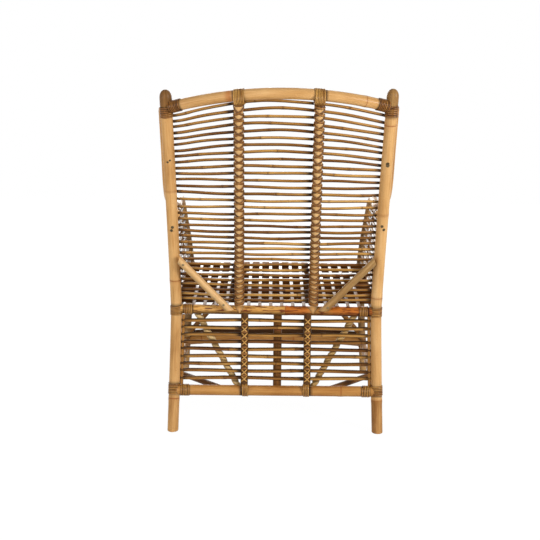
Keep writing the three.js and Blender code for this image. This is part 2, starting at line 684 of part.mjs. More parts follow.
/** Cross slats on the side rails, with lengthwise strips over them from rail to rail. */
function seatDeck() {
  let deck = null;
  CROSS_SLAT_REAR_SHARES.forEach((share, row) => {
    const [rear, front] = [-share * LEG_DEPTH, -CROSS_SLAT_FRONT_SHARES[row] * LEG_DEPTH];
    const y = (rear + front) / 2;
    const length = 2 * (sideRailX(y) + CROSS_SLAT_SET);
    const slat = new THREE.BoxGeometry(length, rear - front, CROSS_SLAT_THICKNESS);
    slat.rotateX(-deckSlope);
    slat.translate(0, y, stripFloor(y) + FUSE_DEPTH / 2 - CROSS_SLAT_THICKNESS / 2);
    const solid = toSolid(slat);
    deck = deck ? deck.add(solid) : solid;
  });
  for (let i = 0; i < STRIP_COUNT; i += 1) {
    const x = STRIP_PITCH * (i - (STRIP_COUNT - 1) / 2);
    const front = frontRailY(x, FRONT_RAIL_BOW);
    const length = Math.hypot(front, stripFloor(front) - stripFloor(0));
    const strip = new THREE.BoxGeometry(STRIP_WIDTH, length, STRIP_THICKNESS);
    strip.translate(0, -length / 2, STRIP_THICKNESS / 2);
    strip.rotateX(-deckSlope);
    strip.translate(x, 0, stripFloor(0));
    deck = deck.add(toSolid(strip));
  }
  return { solid: deck };
}
addPiece('seat_deck', seatDeck(), HONEY_CANE);

// Bindings

/** One place of a strand that lies on a corner of a cane's section. */
function laid(piece, t, corner, strand, slack = 0) {
  const outward = cornerWay(piece, t, corner);
  const reach = laidReach(piece.radius, piece.sides, strand) + slack;
  return { spot: axisSpot(piece, t).addScaledVector(outward, reach), outward };
}

/** A strand drawn through its places, one edge of it outward, closed at both ends. */
function strandGeometry(places, radius) {
  const positions = [];
  const corners = [];
  places.forEach(({ spot, outward }, i) => {
    const before = places[Math.max(i - 1, 0)].spot;
    const after = places[Math.min(i + 1, places.length - 1)].spot;
    const along = after.clone().sub(before).normalize();
    const side = outward.clone().addScaledVector(along, -outward.dot(along)).normalize();
    const across = point().crossVectors(along, side);
    for (let k = 0; k < STRAND_SIDES; k += 1) {
      const angle = (2 * Math.PI * k) / STRAND_SIDES;
      const corner = spot.clone().addScaledVector(side, radius * Math.cos(angle));
      corner.addScaledVector(across, radius * Math.sin(angle));
      positions.push(corner.x, corner.y, corner.z);
    }
  });
  for (let i = 0; i + 1 < places.length; i += 1) {
    for (let k = 0; k < STRAND_SIDES; k += 1) {
      const a = i * STRAND_SIDES + k;
      const b = i * STRAND_SIDES + ((k + 1) % STRAND_SIDES);
      corners.push(a, b, b + STRAND_SIDES, a, b + STRAND_SIDES, a + STRAND_SIDES);
    }
  }
  const end = (places.length - 1) * STRAND_SIDES;
  for (let k = 1; k + 1 < STRAND_SIDES; k += 1) {
    corners.push(0, k + 1, k, end, end + k, end + k + 1);
  }
  const geometry = new THREE.BufferGeometry();
  geometry.setAttribute('position', new THREE.BufferAttribute(Float32Array.from(positions), 3));
  geometry.setIndex(corners);
  geometry.computeVertexNormals();
  return geometry;
}

/** The least gap between turns of one strand, measured between its points. */
function leastSelfGap(places, radius, sides) {
  let least = Infinity;
  for (let i = 0; i < places.length; i += 1) {
    for (let j = i + sides / 2; j < places.length; j += 1) {
      least = Math.min(least, places[i].spot.distanceTo(places[j].spot) - 2 * radius);
    }
  }
  return least;
}

/** Adds one wound strand and prints its least gap to itself. */
function addWinding(name, places, radius, sides) {
  console.log(`${name}: least gap to itself ${leastSelfGap(places, radius, sides).toFixed(2)} mm`);
  addMesh(name, strandGeometry(places, radius), PEEL);
}

/** Even turns round a cane from one share of its length to another, starting on one side of it. */
function evenTurns(piece, from, to, loops, strand, facing) {
  const first = cornerToward(piece, from, facing);
  const count = loops * piece.sides;
  const places = [];
  for (let i = 0; i <= count; i += 1) {
    places.push(laid(piece, mix(from, to, i / count), first + i, strand));
  }
  return places;
}

/** Turns on both sides of a branch, crossing over at the side away from it. */
function lashingTurns(piece, centre, branchHalf, loops, facing) {
  const near = branchHalf + STRAND_RADIUS + 2 * CLEARANCE;
  const first = cornerToward(piece, centre, facing) + piece.sides / 4;
  const count = loops * piece.sides;
  const cross = piece.sides / 2;
  const places = [];
  for (let i = 0; i <= 2 * count + cross; i += 1) {
    let offset = mix(-near, near, THREE.MathUtils.smoothstep(i, count, count + cross));
    if (i < count) offset -= (STRAND_PITCH * (count - i)) / piece.sides;
    if (i > count + cross) offset += (STRAND_PITCH * (i - count - cross)) / piece.sides;
    places.push(laid(piece, centre + offset / piece.length, first + i, STRAND_RADIUS));
  }
  return places;
}

/** Turns along a rib that pass its front in gaps between the slats and run on to the next gap behind it. */
function ribTurns(rib, heights) {
  const first = cornerToward(rib, 0, point(-1, 0, 0)) + 1;
  const half = rib.sides / 2;
  const placeAt = (t, k) => laid(rib, t, first + k, STRAND_RADIUS, RIB_LASH_SLACK);
  const shares = heights.map((z) => shareAtHeight((t) => placeAt(t, 0).spot, z));
  const places = [];
  shares.forEach((share, i) => {
    const next = shares[i + 1] ?? share;
    const steps = i + 1 < shares.length ? rib.sides : half;
    for (let k = 0; k < steps; k += 1) {
      const climb = THREE.MathUtils.clamp((k + 1 - half) / half, 0, 1);
      places.push(placeAt(mix(share, next, climb), k));
    }
  });
  return places;
}

const rearward = point(0, 1, 0);
const postTurn = laidReach(POST_RADIUS, POLE_SIDES, STRAND_RADIUS) + STRAND_RADIUS;

for (const { name } of SIDES) {
  const post = posts[name];
  const inner = (crestSpan - postTurn - STRAND_RADIUS) / crestSpan;
  const crestTop = crestEndZ + CREST_RISE * (1 - inner ** 2) + CREST_RADIUS;
  const start = shareAtHeight((t) => axisSpot(post, t), crestTop + 3 * STRAND_RADIUS);
  const stop = start + (EAR_LOOPS * STRAND_PITCH) / post.length;
  const turns = evenTurns(post, start, stop, EAR_LOOPS, STRAND_RADIUS, rearward);
  addWinding(`ear_binding_${name}`, turns, STRAND_RADIUS, POLE_SIDES);
}

/** Turns round both ends of a rail, just inside the posts. */
function bindRailEnds(label, rail, loops) {
  const first = (POST_RADIUS + BINDING_SET) / rail.length;
  const last = first + (loops * STRAND_PITCH) / rail.length;
  for (const { name, sign } of SIDES) {
    const fromStart = sign * axisSpot(rail, 0).x > 0;
    const shares = fromStart ? [first, last] : [1 - first, 1 - last];
    const turns = evenTurns(rail, ...shares, loops, STRAND_RADIUS, rearward);
    addWinding(`${label}_${name}`, turns, STRAND_RADIUS, POLE_SIDES);
  }
}
bindRailEnds('crest_binding', crest, CREST_LOOPS);
bindRailEnds('seat_rail_binding', rearSeatRail, RAIL_LOOPS);
bindRailEnds('stretcher_binding', rearStretcher, RAIL_LOOPS);

for (const { name, sign } of SIDES) {
  const joints = [['seat_rail_lashing', REAR_RAIL_Z, seatJointHalf],
    ['stretcher_lashing', REAR_STRETCHER_Z, REAR_STRETCHER_RADIUS]];
  const inward = point(-sign, -1, 0).normalize();
  for (const [label, z, half] of joints) {
    const centre = shareAtHeight((t) => axisSpot(posts[name], t), z);
    const turns = lashingTurns(posts[name], centre, half, LASH_LOOPS, inward);
    addWinding(`${label}_${name}`, turns, STRAND_RADIUS, POLE_SIDES);
  }
}

/** Lashings of a rail on both sides of the ribs that meet it. */
function strapRibs(label, rail, ribX, branchHalf, loops, facing) {
  const startX = axisSpot(rail, 0).x;
  for (const { name, sign } of SIDES) {
    const share = (startX - sign * ribX) / (2 * startX);
    const turns = lashingTurns(rail, share, branchHalf, loops, facing);
    addWinding(`${label}_${name}`, turns, STRAND_RADIUS, POLE_SIDES);
  }
}
strapRibs('rib_strap', crest, RIB_X, RIB_RADIUS + STRAP_SLACK, LASH_LOOPS, point(0, 0, -1));
strapRibs('lower_rib_strap', rearStretcher, LOWER_RIB_X, LOWER_RIB_RADIUS, LOWER_STRAP_LOOPS, point(0, 0, 1));

for (const { name } of SIDES) {
  const gaps = [];
  for (let row = 1; row < slatCount; row += RIB_LASH_ROW_COUNT) {
    gaps.push(mix(slatZ(row - 1, RIB_X), slatZ(row, RIB_X), 0.5));
  }
  addWinding(`rib_lashing_${name}`, ribTurns(ribs[name], gaps), STRAND_RADIUS, CANE_SIDES);
  const lowerGaps = [];
  for (let row = 1; row < lowerSlatCount; row += LOWER_RIB_LASH_ROW_COUNT) {
    lowerGaps.push(lowerSlatZ(row - 0.5));
  }
  addWinding(`lower_rib_lashing_${name}`, ribTurns(lowerRibs[name], lowerGaps), STRAND_RADIUS, CANE_SIDES);
}

for (const { name } of SIDES) {
  const brace = baseBraces[name];
  const half = (WRAP_LOOPS * WRAP_PITCH) / (2 * brace.length);
  const turns = evenTurns(brace, 0.5 - half, 0.5 + half, WRAP_LOOPS, WRAP_STRAND_RADIUS, rearward);
  addWinding(`base_brace_wrap_${name}`, turns, WRAP_STRAND_RADIUS, CANE_SIDES);
}

// The origin is under the middle of the chair's box, on the floor.
const box = new THREE.Box3().setFromObject(chair);
chair.position.set(-(box.min.x + box.max.x) / 2, -(box.min.y + box.max.y) / 2, -box.min.z);
chair.updateMatrixWorld(true);

export default chair;
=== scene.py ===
"""High-back rattan armchair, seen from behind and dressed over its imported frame.

Bent poles carry two panels of lashed slats, and split peel is wound over the joints.
Sizes in the classes are millimetres on the drawing: y is 0 at the bend of the rear posts and
grows to the rear, z is 0 on the floor. Meshes are written in metres, in the frame's own place.
"""

import logging
import math
from dataclasses import dataclass, field
from enum import Enum
from random import Random
from typing import Any, Callable, Sequence

import bpy
import numpy as np
from mathutils import Euler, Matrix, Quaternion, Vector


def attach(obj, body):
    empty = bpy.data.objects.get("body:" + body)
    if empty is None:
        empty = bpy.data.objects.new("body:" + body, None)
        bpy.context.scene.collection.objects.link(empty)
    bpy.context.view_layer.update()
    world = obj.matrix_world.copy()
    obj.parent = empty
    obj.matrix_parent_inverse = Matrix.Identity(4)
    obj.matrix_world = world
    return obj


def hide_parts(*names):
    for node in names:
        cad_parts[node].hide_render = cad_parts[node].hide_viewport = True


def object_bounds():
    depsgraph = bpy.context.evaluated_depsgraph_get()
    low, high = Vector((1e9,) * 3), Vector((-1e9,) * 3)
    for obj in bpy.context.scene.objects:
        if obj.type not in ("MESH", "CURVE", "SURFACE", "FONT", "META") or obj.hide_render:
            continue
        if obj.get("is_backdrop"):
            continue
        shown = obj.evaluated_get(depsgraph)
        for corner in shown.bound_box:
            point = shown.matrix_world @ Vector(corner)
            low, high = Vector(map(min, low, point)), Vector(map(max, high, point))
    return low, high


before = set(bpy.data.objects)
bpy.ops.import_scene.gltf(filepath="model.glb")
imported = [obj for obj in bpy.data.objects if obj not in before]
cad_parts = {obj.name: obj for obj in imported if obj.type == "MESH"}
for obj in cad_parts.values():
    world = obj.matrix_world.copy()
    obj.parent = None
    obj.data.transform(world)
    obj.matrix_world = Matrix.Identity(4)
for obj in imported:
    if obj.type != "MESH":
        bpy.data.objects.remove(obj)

log = logging.getLogger("armchair")
CAD_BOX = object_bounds()
METRE = 0.001
REAR = np.array([0.0, 1.0, 0.0])
DOWN = (0.0, 0.0, -1.0)
FLOOR = (0.0, 0.0, 0.0)
REAR_SHIFT = 197.971 * REAR     # from the drawing's origin to the frame's
MAP_STEP = 3.17                 # metres between the maps of two seeds
SIDES = {"left": 1.0, "right": -1.0}
Law = Callable[[float], Sequence[float]]
Marks = Callable[[np.ndarray], np.ndarray]


def mix(start: float, end: float, share: float) -> float:
    """Returns the value at a share of the way from start to end."""
    return start + (end - start) * share


def linear(code: str) -> tuple[float, float, float, float]:
    """Turns an sRGB hex code into a linear colour.

    Args:
        code: six hex digits, with or without the leading mark.

    Returns:
        Red, green, blue and alpha for a shader socket.
    """
    digits = code.lstrip("#")
    values = [int(digits[i:i + 2], 16) / 255 for i in (0, 2, 4)]
    low = [v / 12.92 if v <= 0.04045 else ((v + 0.055) / 1.055) ** 2.4 for v in values]
    return (low[0], low[1], low[2], 1.0)


def columns(run: np.ndarray, at: np.ndarray, table: np.ndarray) -> np.ndarray:
    """Reads a table of points between its rows.

    Args:
        run: the places to read.
        at: the places of the table's rows.
        table: one point a row.

    Returns:
        One point for each place.
    """
    return np.stack([np.interp(run, at, table[:, k]) for k in range(3)], axis=1)


def read(items: Any, name: str, width: int = 1, kind: type = np.float32) -> np.ndarray:
    """Reads one property of all elements of a mesh's list.

    Args:
        items: the list.
        name: the property.
        width: how many numbers it has.
        kind: their type.

    Returns:
        One row for each element.
    """
    values = np.empty(len(items) * width, kind)
    items.foreach_get(name, values)
    return values.reshape(-1, width)


class Way:
    """A centre line in millimetres, resampled evenly, with a frame at every point."""

    def __init__(self, spots: Sequence[Sequence[float]], step: float = 5.0) -> None:
        """Resamples a line of spots.

        Args:
            spots: points along the line.
            step: about how far apart the resampled points lie.
        """
        line = np.asarray(spots, float)
        run = np.r_[0.0, np.cumsum(np.linalg.norm(np.diff(line, axis=0), axis=1))]
        self.length = float(run[-1])
        self.run = np.linspace(0.0, self.length, max(3, round(self.length / step) + 1))
        self.spots = columns(self.run, run, line)
        along = np.gradient(self.spots, axis=0)
        self.along = along / np.linalg.norm(along, axis=1, keepdims=True)

    @classmethod
    def of_law(cls, law: Law, start: float, end: float, count: int = 160) -> "Way":
        """Returns the line that a law draws between two values.

        Args:
            law: gives a point for a value.
            start: first value.
            end: last value.
            count: how many points are taken.

        Returns:
            The resampled line.
        """
        return cls([law(v) for v in np.linspace(start, end, count)])

    @classmethod
    def through(cls, knots: Sequence[Sequence[float]]) -> "Way":
        """Returns a smooth line through a few knots, with even tension.

        Args:
            knots: points that the line passes.

        Returns:
            The resampled line.
        """
        k = np.asarray(knots, float)
        k = np.vstack([2 * k[0] - k[1], k, 2 * k[-1] - k[-2]])
        spots = []
        for i in range(1, len(k) - 2):
            gaps = [math.sqrt(np.linalg.norm(k[i + j] - k[i + j - 1])) for j in range(3)]
            t0, t1, t2, t3 = np.r_[0.0, np.cumsum(gaps)]
            for t in np.linspace(t1, t2, 30, endpoint=False):
                a1 = mix(k[i - 1], k[i], (t - t0) / (t1 - t0))
                a2 = mix(k[i], k[i + 1], (t - t1) / (t2 - t1))
                a3 = mix(k[i + 1], k[i + 2], (t - t2) / (t3 - t2))
                b1 = mix(a1, a2, (t - t0) / (t2 - t0))
                b2 = mix(a2, a3, (t - t1) / (t3 - t1))
                spots.append(mix(b1, b2, (t - t1) / (t2 - t1)))
        spots.append(k[-2])
        return cls(spots)

    def run_at(self, axis: int, value: float) -> float:
        """Returns how far along the line one coordinate first reaches a value."""
        gap = np.abs(self.spots[:, axis] - value)
        return float(self.run[int(np.argmin(gap))])

    def around(self, run: np.ndarray, turn: np.ndarray,
               reach: np.ndarray | float) -> tuple[np.ndarray, np.ndarray]:
        """Finds places round the line.

        Args:
            run: distances along the line.
            turn: angles about it, zero to the rear.
            reach: distances from it.

        Returns:
            The places, and the outward direction at each.
        """
        spot = columns(run, self.run, self.spots)
        along = columns(run, self.run, self.along)
        along /= np.linalg.norm(along, axis=1, keepdims=True)
        face = REAR - along * (along @ REAR)[:, None]
        face /= np.linalg.norm(face, axis=1, keepdims=True)
        side = np.cross(along, face)
        out = np.cos(turn)[:, None] * face + np.sin(turn)[:, None] * side
        return spot + out * np.reshape(reach, (-1, 1)), out


@dataclass(frozen=True)
class ChairPlan:
    """The centre lines that the chair's canes follow."""

    seat_z: float = 364.0
    low_z: float = 123.0
    post_foot_x: float = 310.0
    post_seat_x: float = 301.0
    post_top_x: float = 306.95
    post_top: float = 995.0
    foot_extra: float = 12.0
    foot_rounding: float = 1.5
    foot_rake: float = 52.0
    top_lean: float = 138.6
    crest_end_z: float = 960.0
    crest_rise: float = 35.0
    leg_y: float = -545.0
    leg_foot_x: float = 336.0
    leg_seat_x: float = 312.0
    leg_top_x: float = 335.0
    front_rail_z: float = 398.0
    front_low_z: float = 116.0
    front_bow: float = 42.0
    low_bow: float = 58.0
    arm_rear_z: float = 662.0
    arm_rear_inset: float = 10.8
    arm_front_z: float = 660.0
    arm_front_x: float = 342.0
    arm_front_y: float = -470.0
    bend_z: float = 585.0
    bulge_low: float = 15.0
    bulge_top: float = 62.0
    slat_set: float = 8.0
    slat_rows: int = 33
    slat_half: float = 307.0
    slat_top: float = 975.0
    slat_pitch: float = 20.6
    slat_closing: float = 5.15 / 64.0
    arch_share: float = 0.34
    arch_drop: float = 37.0
    slat_sag: float = 6.0
    rib_x: float = 109.0
    rib_set: float = 13.5
    rib_foot: float = 385.0
    rib_foot_x: float = 110.4
    rib_top: float = 992.0
    rib_top_x: float = 107.2
    low_rib_x: float = 94.8
    low_rows: int = 9
    low_slat_top: float = 333.0
    low_slat_pitch: float = 21.8
    brace_foot: tuple[float, float, float] = (137.5, 22.7, 366.0)
    brace_top: tuple[float, float, float] = (288.5, 24.7, 528.0)
    seat_rear_z: float = 378.3
    seat_front_z: float = 411.3
    seat_depth: float = 587.0
    rail_drop: float = 18.85
    skew: float = 4.0
    skew_half: float = 306.0
    skew_rise: float = 600.0

    def post_x(self, z: float) -> float:
        """Returns how far a rear post stands from the middle at a height."""
        if z < self.seat_z:
            return mix(self.post_seat_x, self.post_foot_x, (self.seat_z - z) / self.seat_z)
        share = (z - self.seat_z) / (self.post_top - self.seat_z)
        return mix(self.post_seat_x, self.post_top_x, share)

    def post_y(self, z: float) -> float:
        """Returns how far a rear post leans to the rear at a height."""
        if z < self.seat_z:
            return self.foot_rake * ((self.seat_z - z) / self.seat_z) ** 1.4
        return self.top_lean * ((z - self.seat_z) / (self.post_top - self.seat_z)) ** 1.25

    def back_y(self, x: float, z: float) -> float:
        """Returns where the bowed back lies at a place across and a height."""
        share = (z - self.seat_z) / (self.crest_end_z - self.seat_z)
        bow = mix(self.bulge_low, self.bulge_top, share)
        return self.post_y(z) - self.slat_set + bow * (1.0 - (x / self.post_x(z)) ** 2)

    def slat_z(self, row: int, x: float) -> float:
        """Returns the height of a back slat at a place across.

        The upper slats arch, and their left ends level out before the post. The lower ones sag.
        """
        share = row / (self.slat_rows - 1)
        middle = self.slat_top - self.slat_pitch * row + self.slat_closing * row * row
        past = (share - self.arch_share) / (1.0 - self.arch_share)
        u = abs(x) / self.slat_half
        if past >= 0:
            return middle + self.slat_sag * math.sin(math.pi * past) * u * u
        fall = (u * u - 5.0 * max(0.0, u - 0.8) ** 2) / 0.8 if x > 0 else u ** 1.75
        return middle - self.arch_drop * (1.0 - share / self.arch_share) * fall

    def low_slat_z(self, row: int) -> float:
        """Returns the height of a slat under the seat rail."""
        return self.low_slat_top - self.low_slat_pitch * row

    def rib_y(self, z: float) -> float:
        """Returns where a back rib lies, behind the slats."""
        return self.back_y(self.rib_x, z) + self.rib_set

    def rib_across(self, z: float) -> float:
        """Returns how far a back rib stands from the middle: the ribs draw together upwards."""
        share = (z - self.rib_foot) / (self.rib_top - self.rib_foot)
        return mix(self.rib_foot_x, self.rib_top_x, share)

    def brace_ends(self, s: float) -> tuple[np.ndarray, np.ndarray]:
        """Returns the foot and the top of a back brace, on the side with this sign."""
        foot, top = np.array(self.brace_foot), np.array(self.brace_top)
        top[1] += self.post_y(top[2])
        return foot * (s, 1.0, 1.0), top * (s, 1.0, 1.0)

    def leg_x(self, z: float) -> float:
        """Returns how far a front leg stands from the middle at a height."""
        if z < self.front_rail_z:
            share = (self.front_rail_z - z) / self.front_rail_z
            return mix(self.leg_seat_x, self.leg_foot_x, share)
        share = (z - self.front_rail_z) / (self.bend_z - self.front_rail_z)
        return mix(self.leg_seat_x, self.leg_top_x, share ** 1.5)

    def arm_spot(self, share: float) -> tuple[float, float, float]:
        """Returns a point of the left arm, from the post to the start of its front bend."""
        z = self.arm_rear_z
        return (mix(self.post_x(z) - self.arm_rear_inset, self.arm_front_x, share),
                mix(self.post_y(z), self.arm_front_y, share),
                mix(z, self.arm_front_z, share))

    def bend_spot(self, share: float) -> tuple[float, float, float]:
        """Returns a point of the left arm's front bend, down to the leg."""
        reach = self.arm_front_y - self.leg_y
        turn = math.pi * share / 2
        return (mix(self.arm_front_x, self.leg_x(self.bend_z), share ** 2),
                self.arm_front_y - reach * math.sin(turn),
                self.bend_z + (self.arm_front_z - self.bend_z) * math.cos(turn))

    def arm_at(self, y: float) -> tuple[float, float, float]:
        """Returns the point of the left arm at a depth."""
        rear = self.post_y(self.arm_rear_z)
        return self.arm_spot((rear - y) / (rear - self.arm_front_y))

    def front_y(self, x: float) -> float:
        """Returns how far forward the bowed front rail lies at a place across."""
        return self.leg_y - self.front_bow * (1.0 - (x / self.leg_seat_x) ** 2)

    def seat_top(self, y: float) -> float:
        """Returns the height on which the seat strips lie at a depth."""
        return mix(self.seat_rear_z, self.seat_front_z, -y / self.seat_depth)

    def side_rail(self, y: float) -> tuple[float, float, float]:
        """Returns the point of the left side seat rail at a depth."""
        return (mix(self.post_seat_x, self.leg_seat_x, y / self.leg_y), y,
                self.seat_top(y) - self.rail_drop)


PLAN = ChairPlan()


def askew(spots: np.ndarray) -> np.ndarray:
    """Returns points as the hand-built back holds them: its right side stands 8 mm higher."""
    moved = np.array(spots, float)
    rise = np.clip((moved[:, 2] - PLAN.seat_z) / PLAN.skew_rise, 0.0, 1.0)
    moved[:, 2] -= moved[:, 0] * PLAN.skew / PLAN.skew_half * rise
    return moved


def in_frame(spots: np.ndarray) -> np.ndarray:
    """Returns points of the drawing in the frame's own place, in metres."""
    return (askew(spots) + REAR_SHIFT) * METRE


class Slot(Enum):
    """The record's material slots."""

    PALE = "pale_cane"
    HONEY = "honey_cane"
    DARK = "dark_cane"
    PEEL = "peel"


class Grain(Enum):
    """How finely a straight cane is divided before it is shaped: faces round it, and along it."""

    POLE = (24, 180)
    CANE = (14, 80)
    SLAT = (10, 72)
    STRIP = (8, 48)


class Nodes:
    """Adds nodes to one material or world and wires them."""

    def __init__(self, owner: bpy.types.ID) -> None:
        """Starts with an empty tree."""
        owner.use_nodes = True
        self.tree = owner.node_tree
        self.tree.nodes.clear()

    def add(self, kind: str, ins: dict[Any, Any] | None = None,
            stops: Sequence[tuple[float, str]] = (), **props: Any) -> bpy.types.Node:
        """Adds one node.

        Args:
            kind: the node's type, without the word that all of them start with.
            ins: what goes to its inputs, by name or number: a value, a socket, or a node for
                the first output that it has in use.
            stops: places and hex colours of its colour ramp, in order.
            props: settings of the node itself.

        Returns:
            The new node.
        """
        node = self.tree.nodes.new("ShaderNode" + kind)
        for key, value in props.items():
            setattr(node, key, value)
        for key, value in (ins or {}).items():
            if isinstance(value, bpy.types.Node):
                value = next(out for out in value.outputs if out.enabled)
            if isinstance(value, bpy.types.NodeSocket):
                self.tree.links.new(value, node.inputs[key])
            else:
                node.inputs[key].default_value = value
        for index, (place, code) in enumerate(stops):
            marks = node.color_ramp.elements
            mark = marks[index] if index < 2 else marks.new(place)
            mark.position, mark.color = place, linear(code)
        return node


@dataclass(frozen=True)
class CaneFinish:
    """Varnished rattan with its skin on.

    The eye reads long fine fibre streaks, cloudy honey patches, small reddish flecks, a dark
    red-brown line with a swelling at each joint, and painted shade where canes meet.
    """

    name: str
    deep: str
    mid: str
    pale: str
    light: str
    fleck: str = "#7a3f16"
    joint: str = "#823a12"
    painted_shade: str = "#1f0d03"
    stain: str = "#ac530a"
    flecks: float = 0.55
    fleck_from: float = 0.60
    fleck_run: float = 0.0045
    dashes: float = 0.0
    roughness: float = 0.40
    coat: float = 0.0
    gloss: float = 0.12

    def make(self) -> bpy.types.Material:
        """Returns the finish as a material."""
        material = bpy.data.materials.new(self.name)
        n = Nodes(material)
        marks = n.add("Attribute", attribute_name="marks")
        joint, tone, painted_shade = n.add("SeparateColor", {0: marks}).outputs
        uv = n.add("UVMap", uv_map="UVMap")
        # Real fibres are about 0.4 mm wide, too fine to show, so they are drawn 1.2 mm wide.
        sizes = ((0.0012, 0.070, 3.0),              # fibre streaks 1.2 by 70 mm
                 (0.005, 0.250, 2.0),               # long streaks 5 by 250 mm
                 (0.035, 0.110, 3.0),               # honey patches 35 by 110 mm
                 (0.0022, self.fleck_run, 2.0),     # flecks 2.2 mm by 4.5 to 24 mm
                 (0.010, 0.030, 2.0),               # scuffs 10 by 30 mm
                 (0.005, 0.038, 3.0))               # burnt dashes 5 by 38 mm
        noises = []
        for across, along, detail in sizes:
            scaled = n.add("Mapping", {"Vector": uv, "Scale": (1 / across, 1 / along, 1.0)})
            noises.append(n.add("TexNoise", {"Vector": scaled, "Scale": 1.0, "Detail": detail}))
        fibre, streak, cloud, speck, wear, scar = noises
        share: Any = -0.81
        for noise, weight in ((tone, 0.62), (cloud, 0.75), (streak, 0.45), (fibre, 0.65)):
            share = n.add("Math", {0: noise, 1: weight, 2: share}, operation="MULTIPLY_ADD")
        colour = n.add("ValToRGB", {0: share}, stops=(
            (0.02, self.deep), (0.36, self.mid), (0.66, self.pale), (0.95, self.light)))
        spots = n.add("MapRange", {0: speck, 1: self.fleck_from, 2: self.fleck_from + 0.10,
                                   3: 0.0, 4: self.flecks})
        burnt = n.add("MapRange", {0: scar, 1: 0.55, 2: 0.59, 3: 0.0, 4: self.dashes})
        # The last layer is painted shade, mixed in by the marks' third channel.
        layers = ((marks.outputs["Alpha"], cloud, 0.9, 0.35, self.stain),
                  (spots, wear, 1.8, -0.45, self.fleck),
                  (burnt, wear, 0.0, 1.0, self.fleck),
                  (joint, wear, 0.8, 0.45, self.joint),
                  (painted_shade, cloud, 0.6, 0.65, self.painted_shade))
        for mask, noise, gain, base, code in layers:
            patch = n.add("Math", {0: noise, 1: gain, 2: base}, operation="MULTIPLY_ADD")
            cover = n.add("Math", {0: mask, 1: patch}, operation="MULTIPLY", use_clamp=True)
            colour = n.add("Mix", {0: cover, 6: colour, 7: linear(code)}, data_type="RGBA")
        height: Any = 0.0
        for noise, weight in ((speck, 0.15), (joint, -0.8), (fibre, 0.5)):
            height = n.add("Math", {0: noise, 1: weight, 2: height}, operation="MULTIPLY_ADD")
        bump = n.add("Bump", {"Strength": 0.35, "Distance": 0.0006, "Height": height})
        rough = n.add("Math", {0: wear, 1: 0.22, 2: self.roughness - 0.11},
                      operation="MULTIPLY_ADD")
        shader = n.add("BsdfPrincipled", {
            "Base Color": colour, "Roughness": rough, "Normal": bump, "Coat Weight": self.coat,
            "Coat Roughness": 0.16, "Specular IOR Level": self.gloss})
        n.add("OutputMaterial", {0: shader})
        return material


@dataclass(frozen=True)
class PeelFinish:
    """Split rattan peel: flat glossy strands with fine lines along and darker stretches.

    Painted shade, from the marks' third channel, darkens the strands; where dull is set, the gloss
    drops with it.
    """

    name: str
    dark: str
    mid: str
    pale: str
    roughness: float = 0.34
    coat: float = 0.06
    gloss: float = 0.2
    bend: float = 1.5
    dull: float = 0.0

    def make(self) -> bpy.types.Material:
        """Returns the finish as a material."""
        material = bpy.data.materials.new(self.name)
        n = Nodes(material)
        marks = n.add("Attribute", attribute_name="marks")
        _, tone, painted_shade = n.add("SeparateColor", {0: marks}).outputs
        uv = n.add("UVMap", uv_map="UVMap")
        # Real lines are about 0.3 mm wide, too fine to show, so they are drawn 0.7 mm wide.
        sizes = ((0.0007, 0.030),                   # fine lines 0.7 by 30 mm
                 (0.020, 0.045))                    # darker stretches 20 by 45 mm
        noises = []
        for across, along in sizes:
            scaled = n.add("Mapping", {"Vector": uv, "Scale": (1 / across, 1 / along, 1.0)})
            noises.append(n.add("TexNoise", {"Vector": scaled, "Scale": 1.0, "Detail": 2.0}))
        lines, stretch = noises
        share: Any = -0.50
        for noise, weight in ((tone, 0.80), (stretch, 0.75), (lines, 0.45)):
            share = n.add("Math", {0: noise, 1: weight, 2: share}, operation="MULTIPLY_ADD")
        colour = n.add("ValToRGB", {0: share}, stops=(
            (0.05, self.dark), (0.50, self.mid), (0.92, self.pale)))
        # Painted shade from the marks' third channel.
        colour = n.add("Mix", {0: painted_shade, 6: colour, 7: linear(self.dark)}, data_type="RGBA")
        bump = n.add("Bump", {"Strength": 0.25, "Distance": 0.0003, "Height": lines})
        gloss = n.add("Math", {0: painted_shade, 1: -self.dull, 2: self.gloss},
                      operation="MULTIPLY_ADD")
        rough = n.add("Math", {0: stretch, 1: 0.2, 2: self.roughness - 0.1},
                      operation="MULTIPLY_ADD")
        shader = n.add("BsdfPrincipled", {
            "Base Color": colour, "Roughness": rough, "Normal": bump, "Coat Weight": self.coat,
            "Coat Roughness": 0.14, "Specular IOR Level": gloss, "IOR": self.bend})
        n.add("OutputMaterial", {0: shader})
        return material


@dataclass(frozen=True)
class FloorFinish:
    """A plain white studio floor that still takes the chair's soft shadow."""

    name: str = "studio_floor"
    near: float = 0.92
    glow: float = 1.06

    def make(self) -> bpy.types.Material:
        """Returns the floor as a material."""
        material = bpy.data.materials.new(self.name)
        n = Nodes(material)
        path = n.add("LightPath").outputs
        seen = n.add("Math", {0: path["Is Camera Ray"], 1: path["Is Glossy Ray"]},
                     operation="MAXIMUM")
        place = n.add("TexCoord").outputs["Object"]
        away = n.add("VectorMath", {0: place}, operation="LENGTH")
        level = n.add("MapRange", {0: away, 1: 0.5, 2: 1.5, 3: self.near, 4: 1.0})
        share = n.add("Math", {0: seen, 1: level}, operation="MULTIPLY")
        matt = n.add("BsdfDiffuse", {"Color": linear("#cfcfcc")})
        glow = n.add("Emission", {"Color": linear("#ffffff"), "Strength": self.glow})
        n.add("OutputMaterial", {0: n.add("MixShader", {0: share, 1: matt, 2: glow})})
        return material


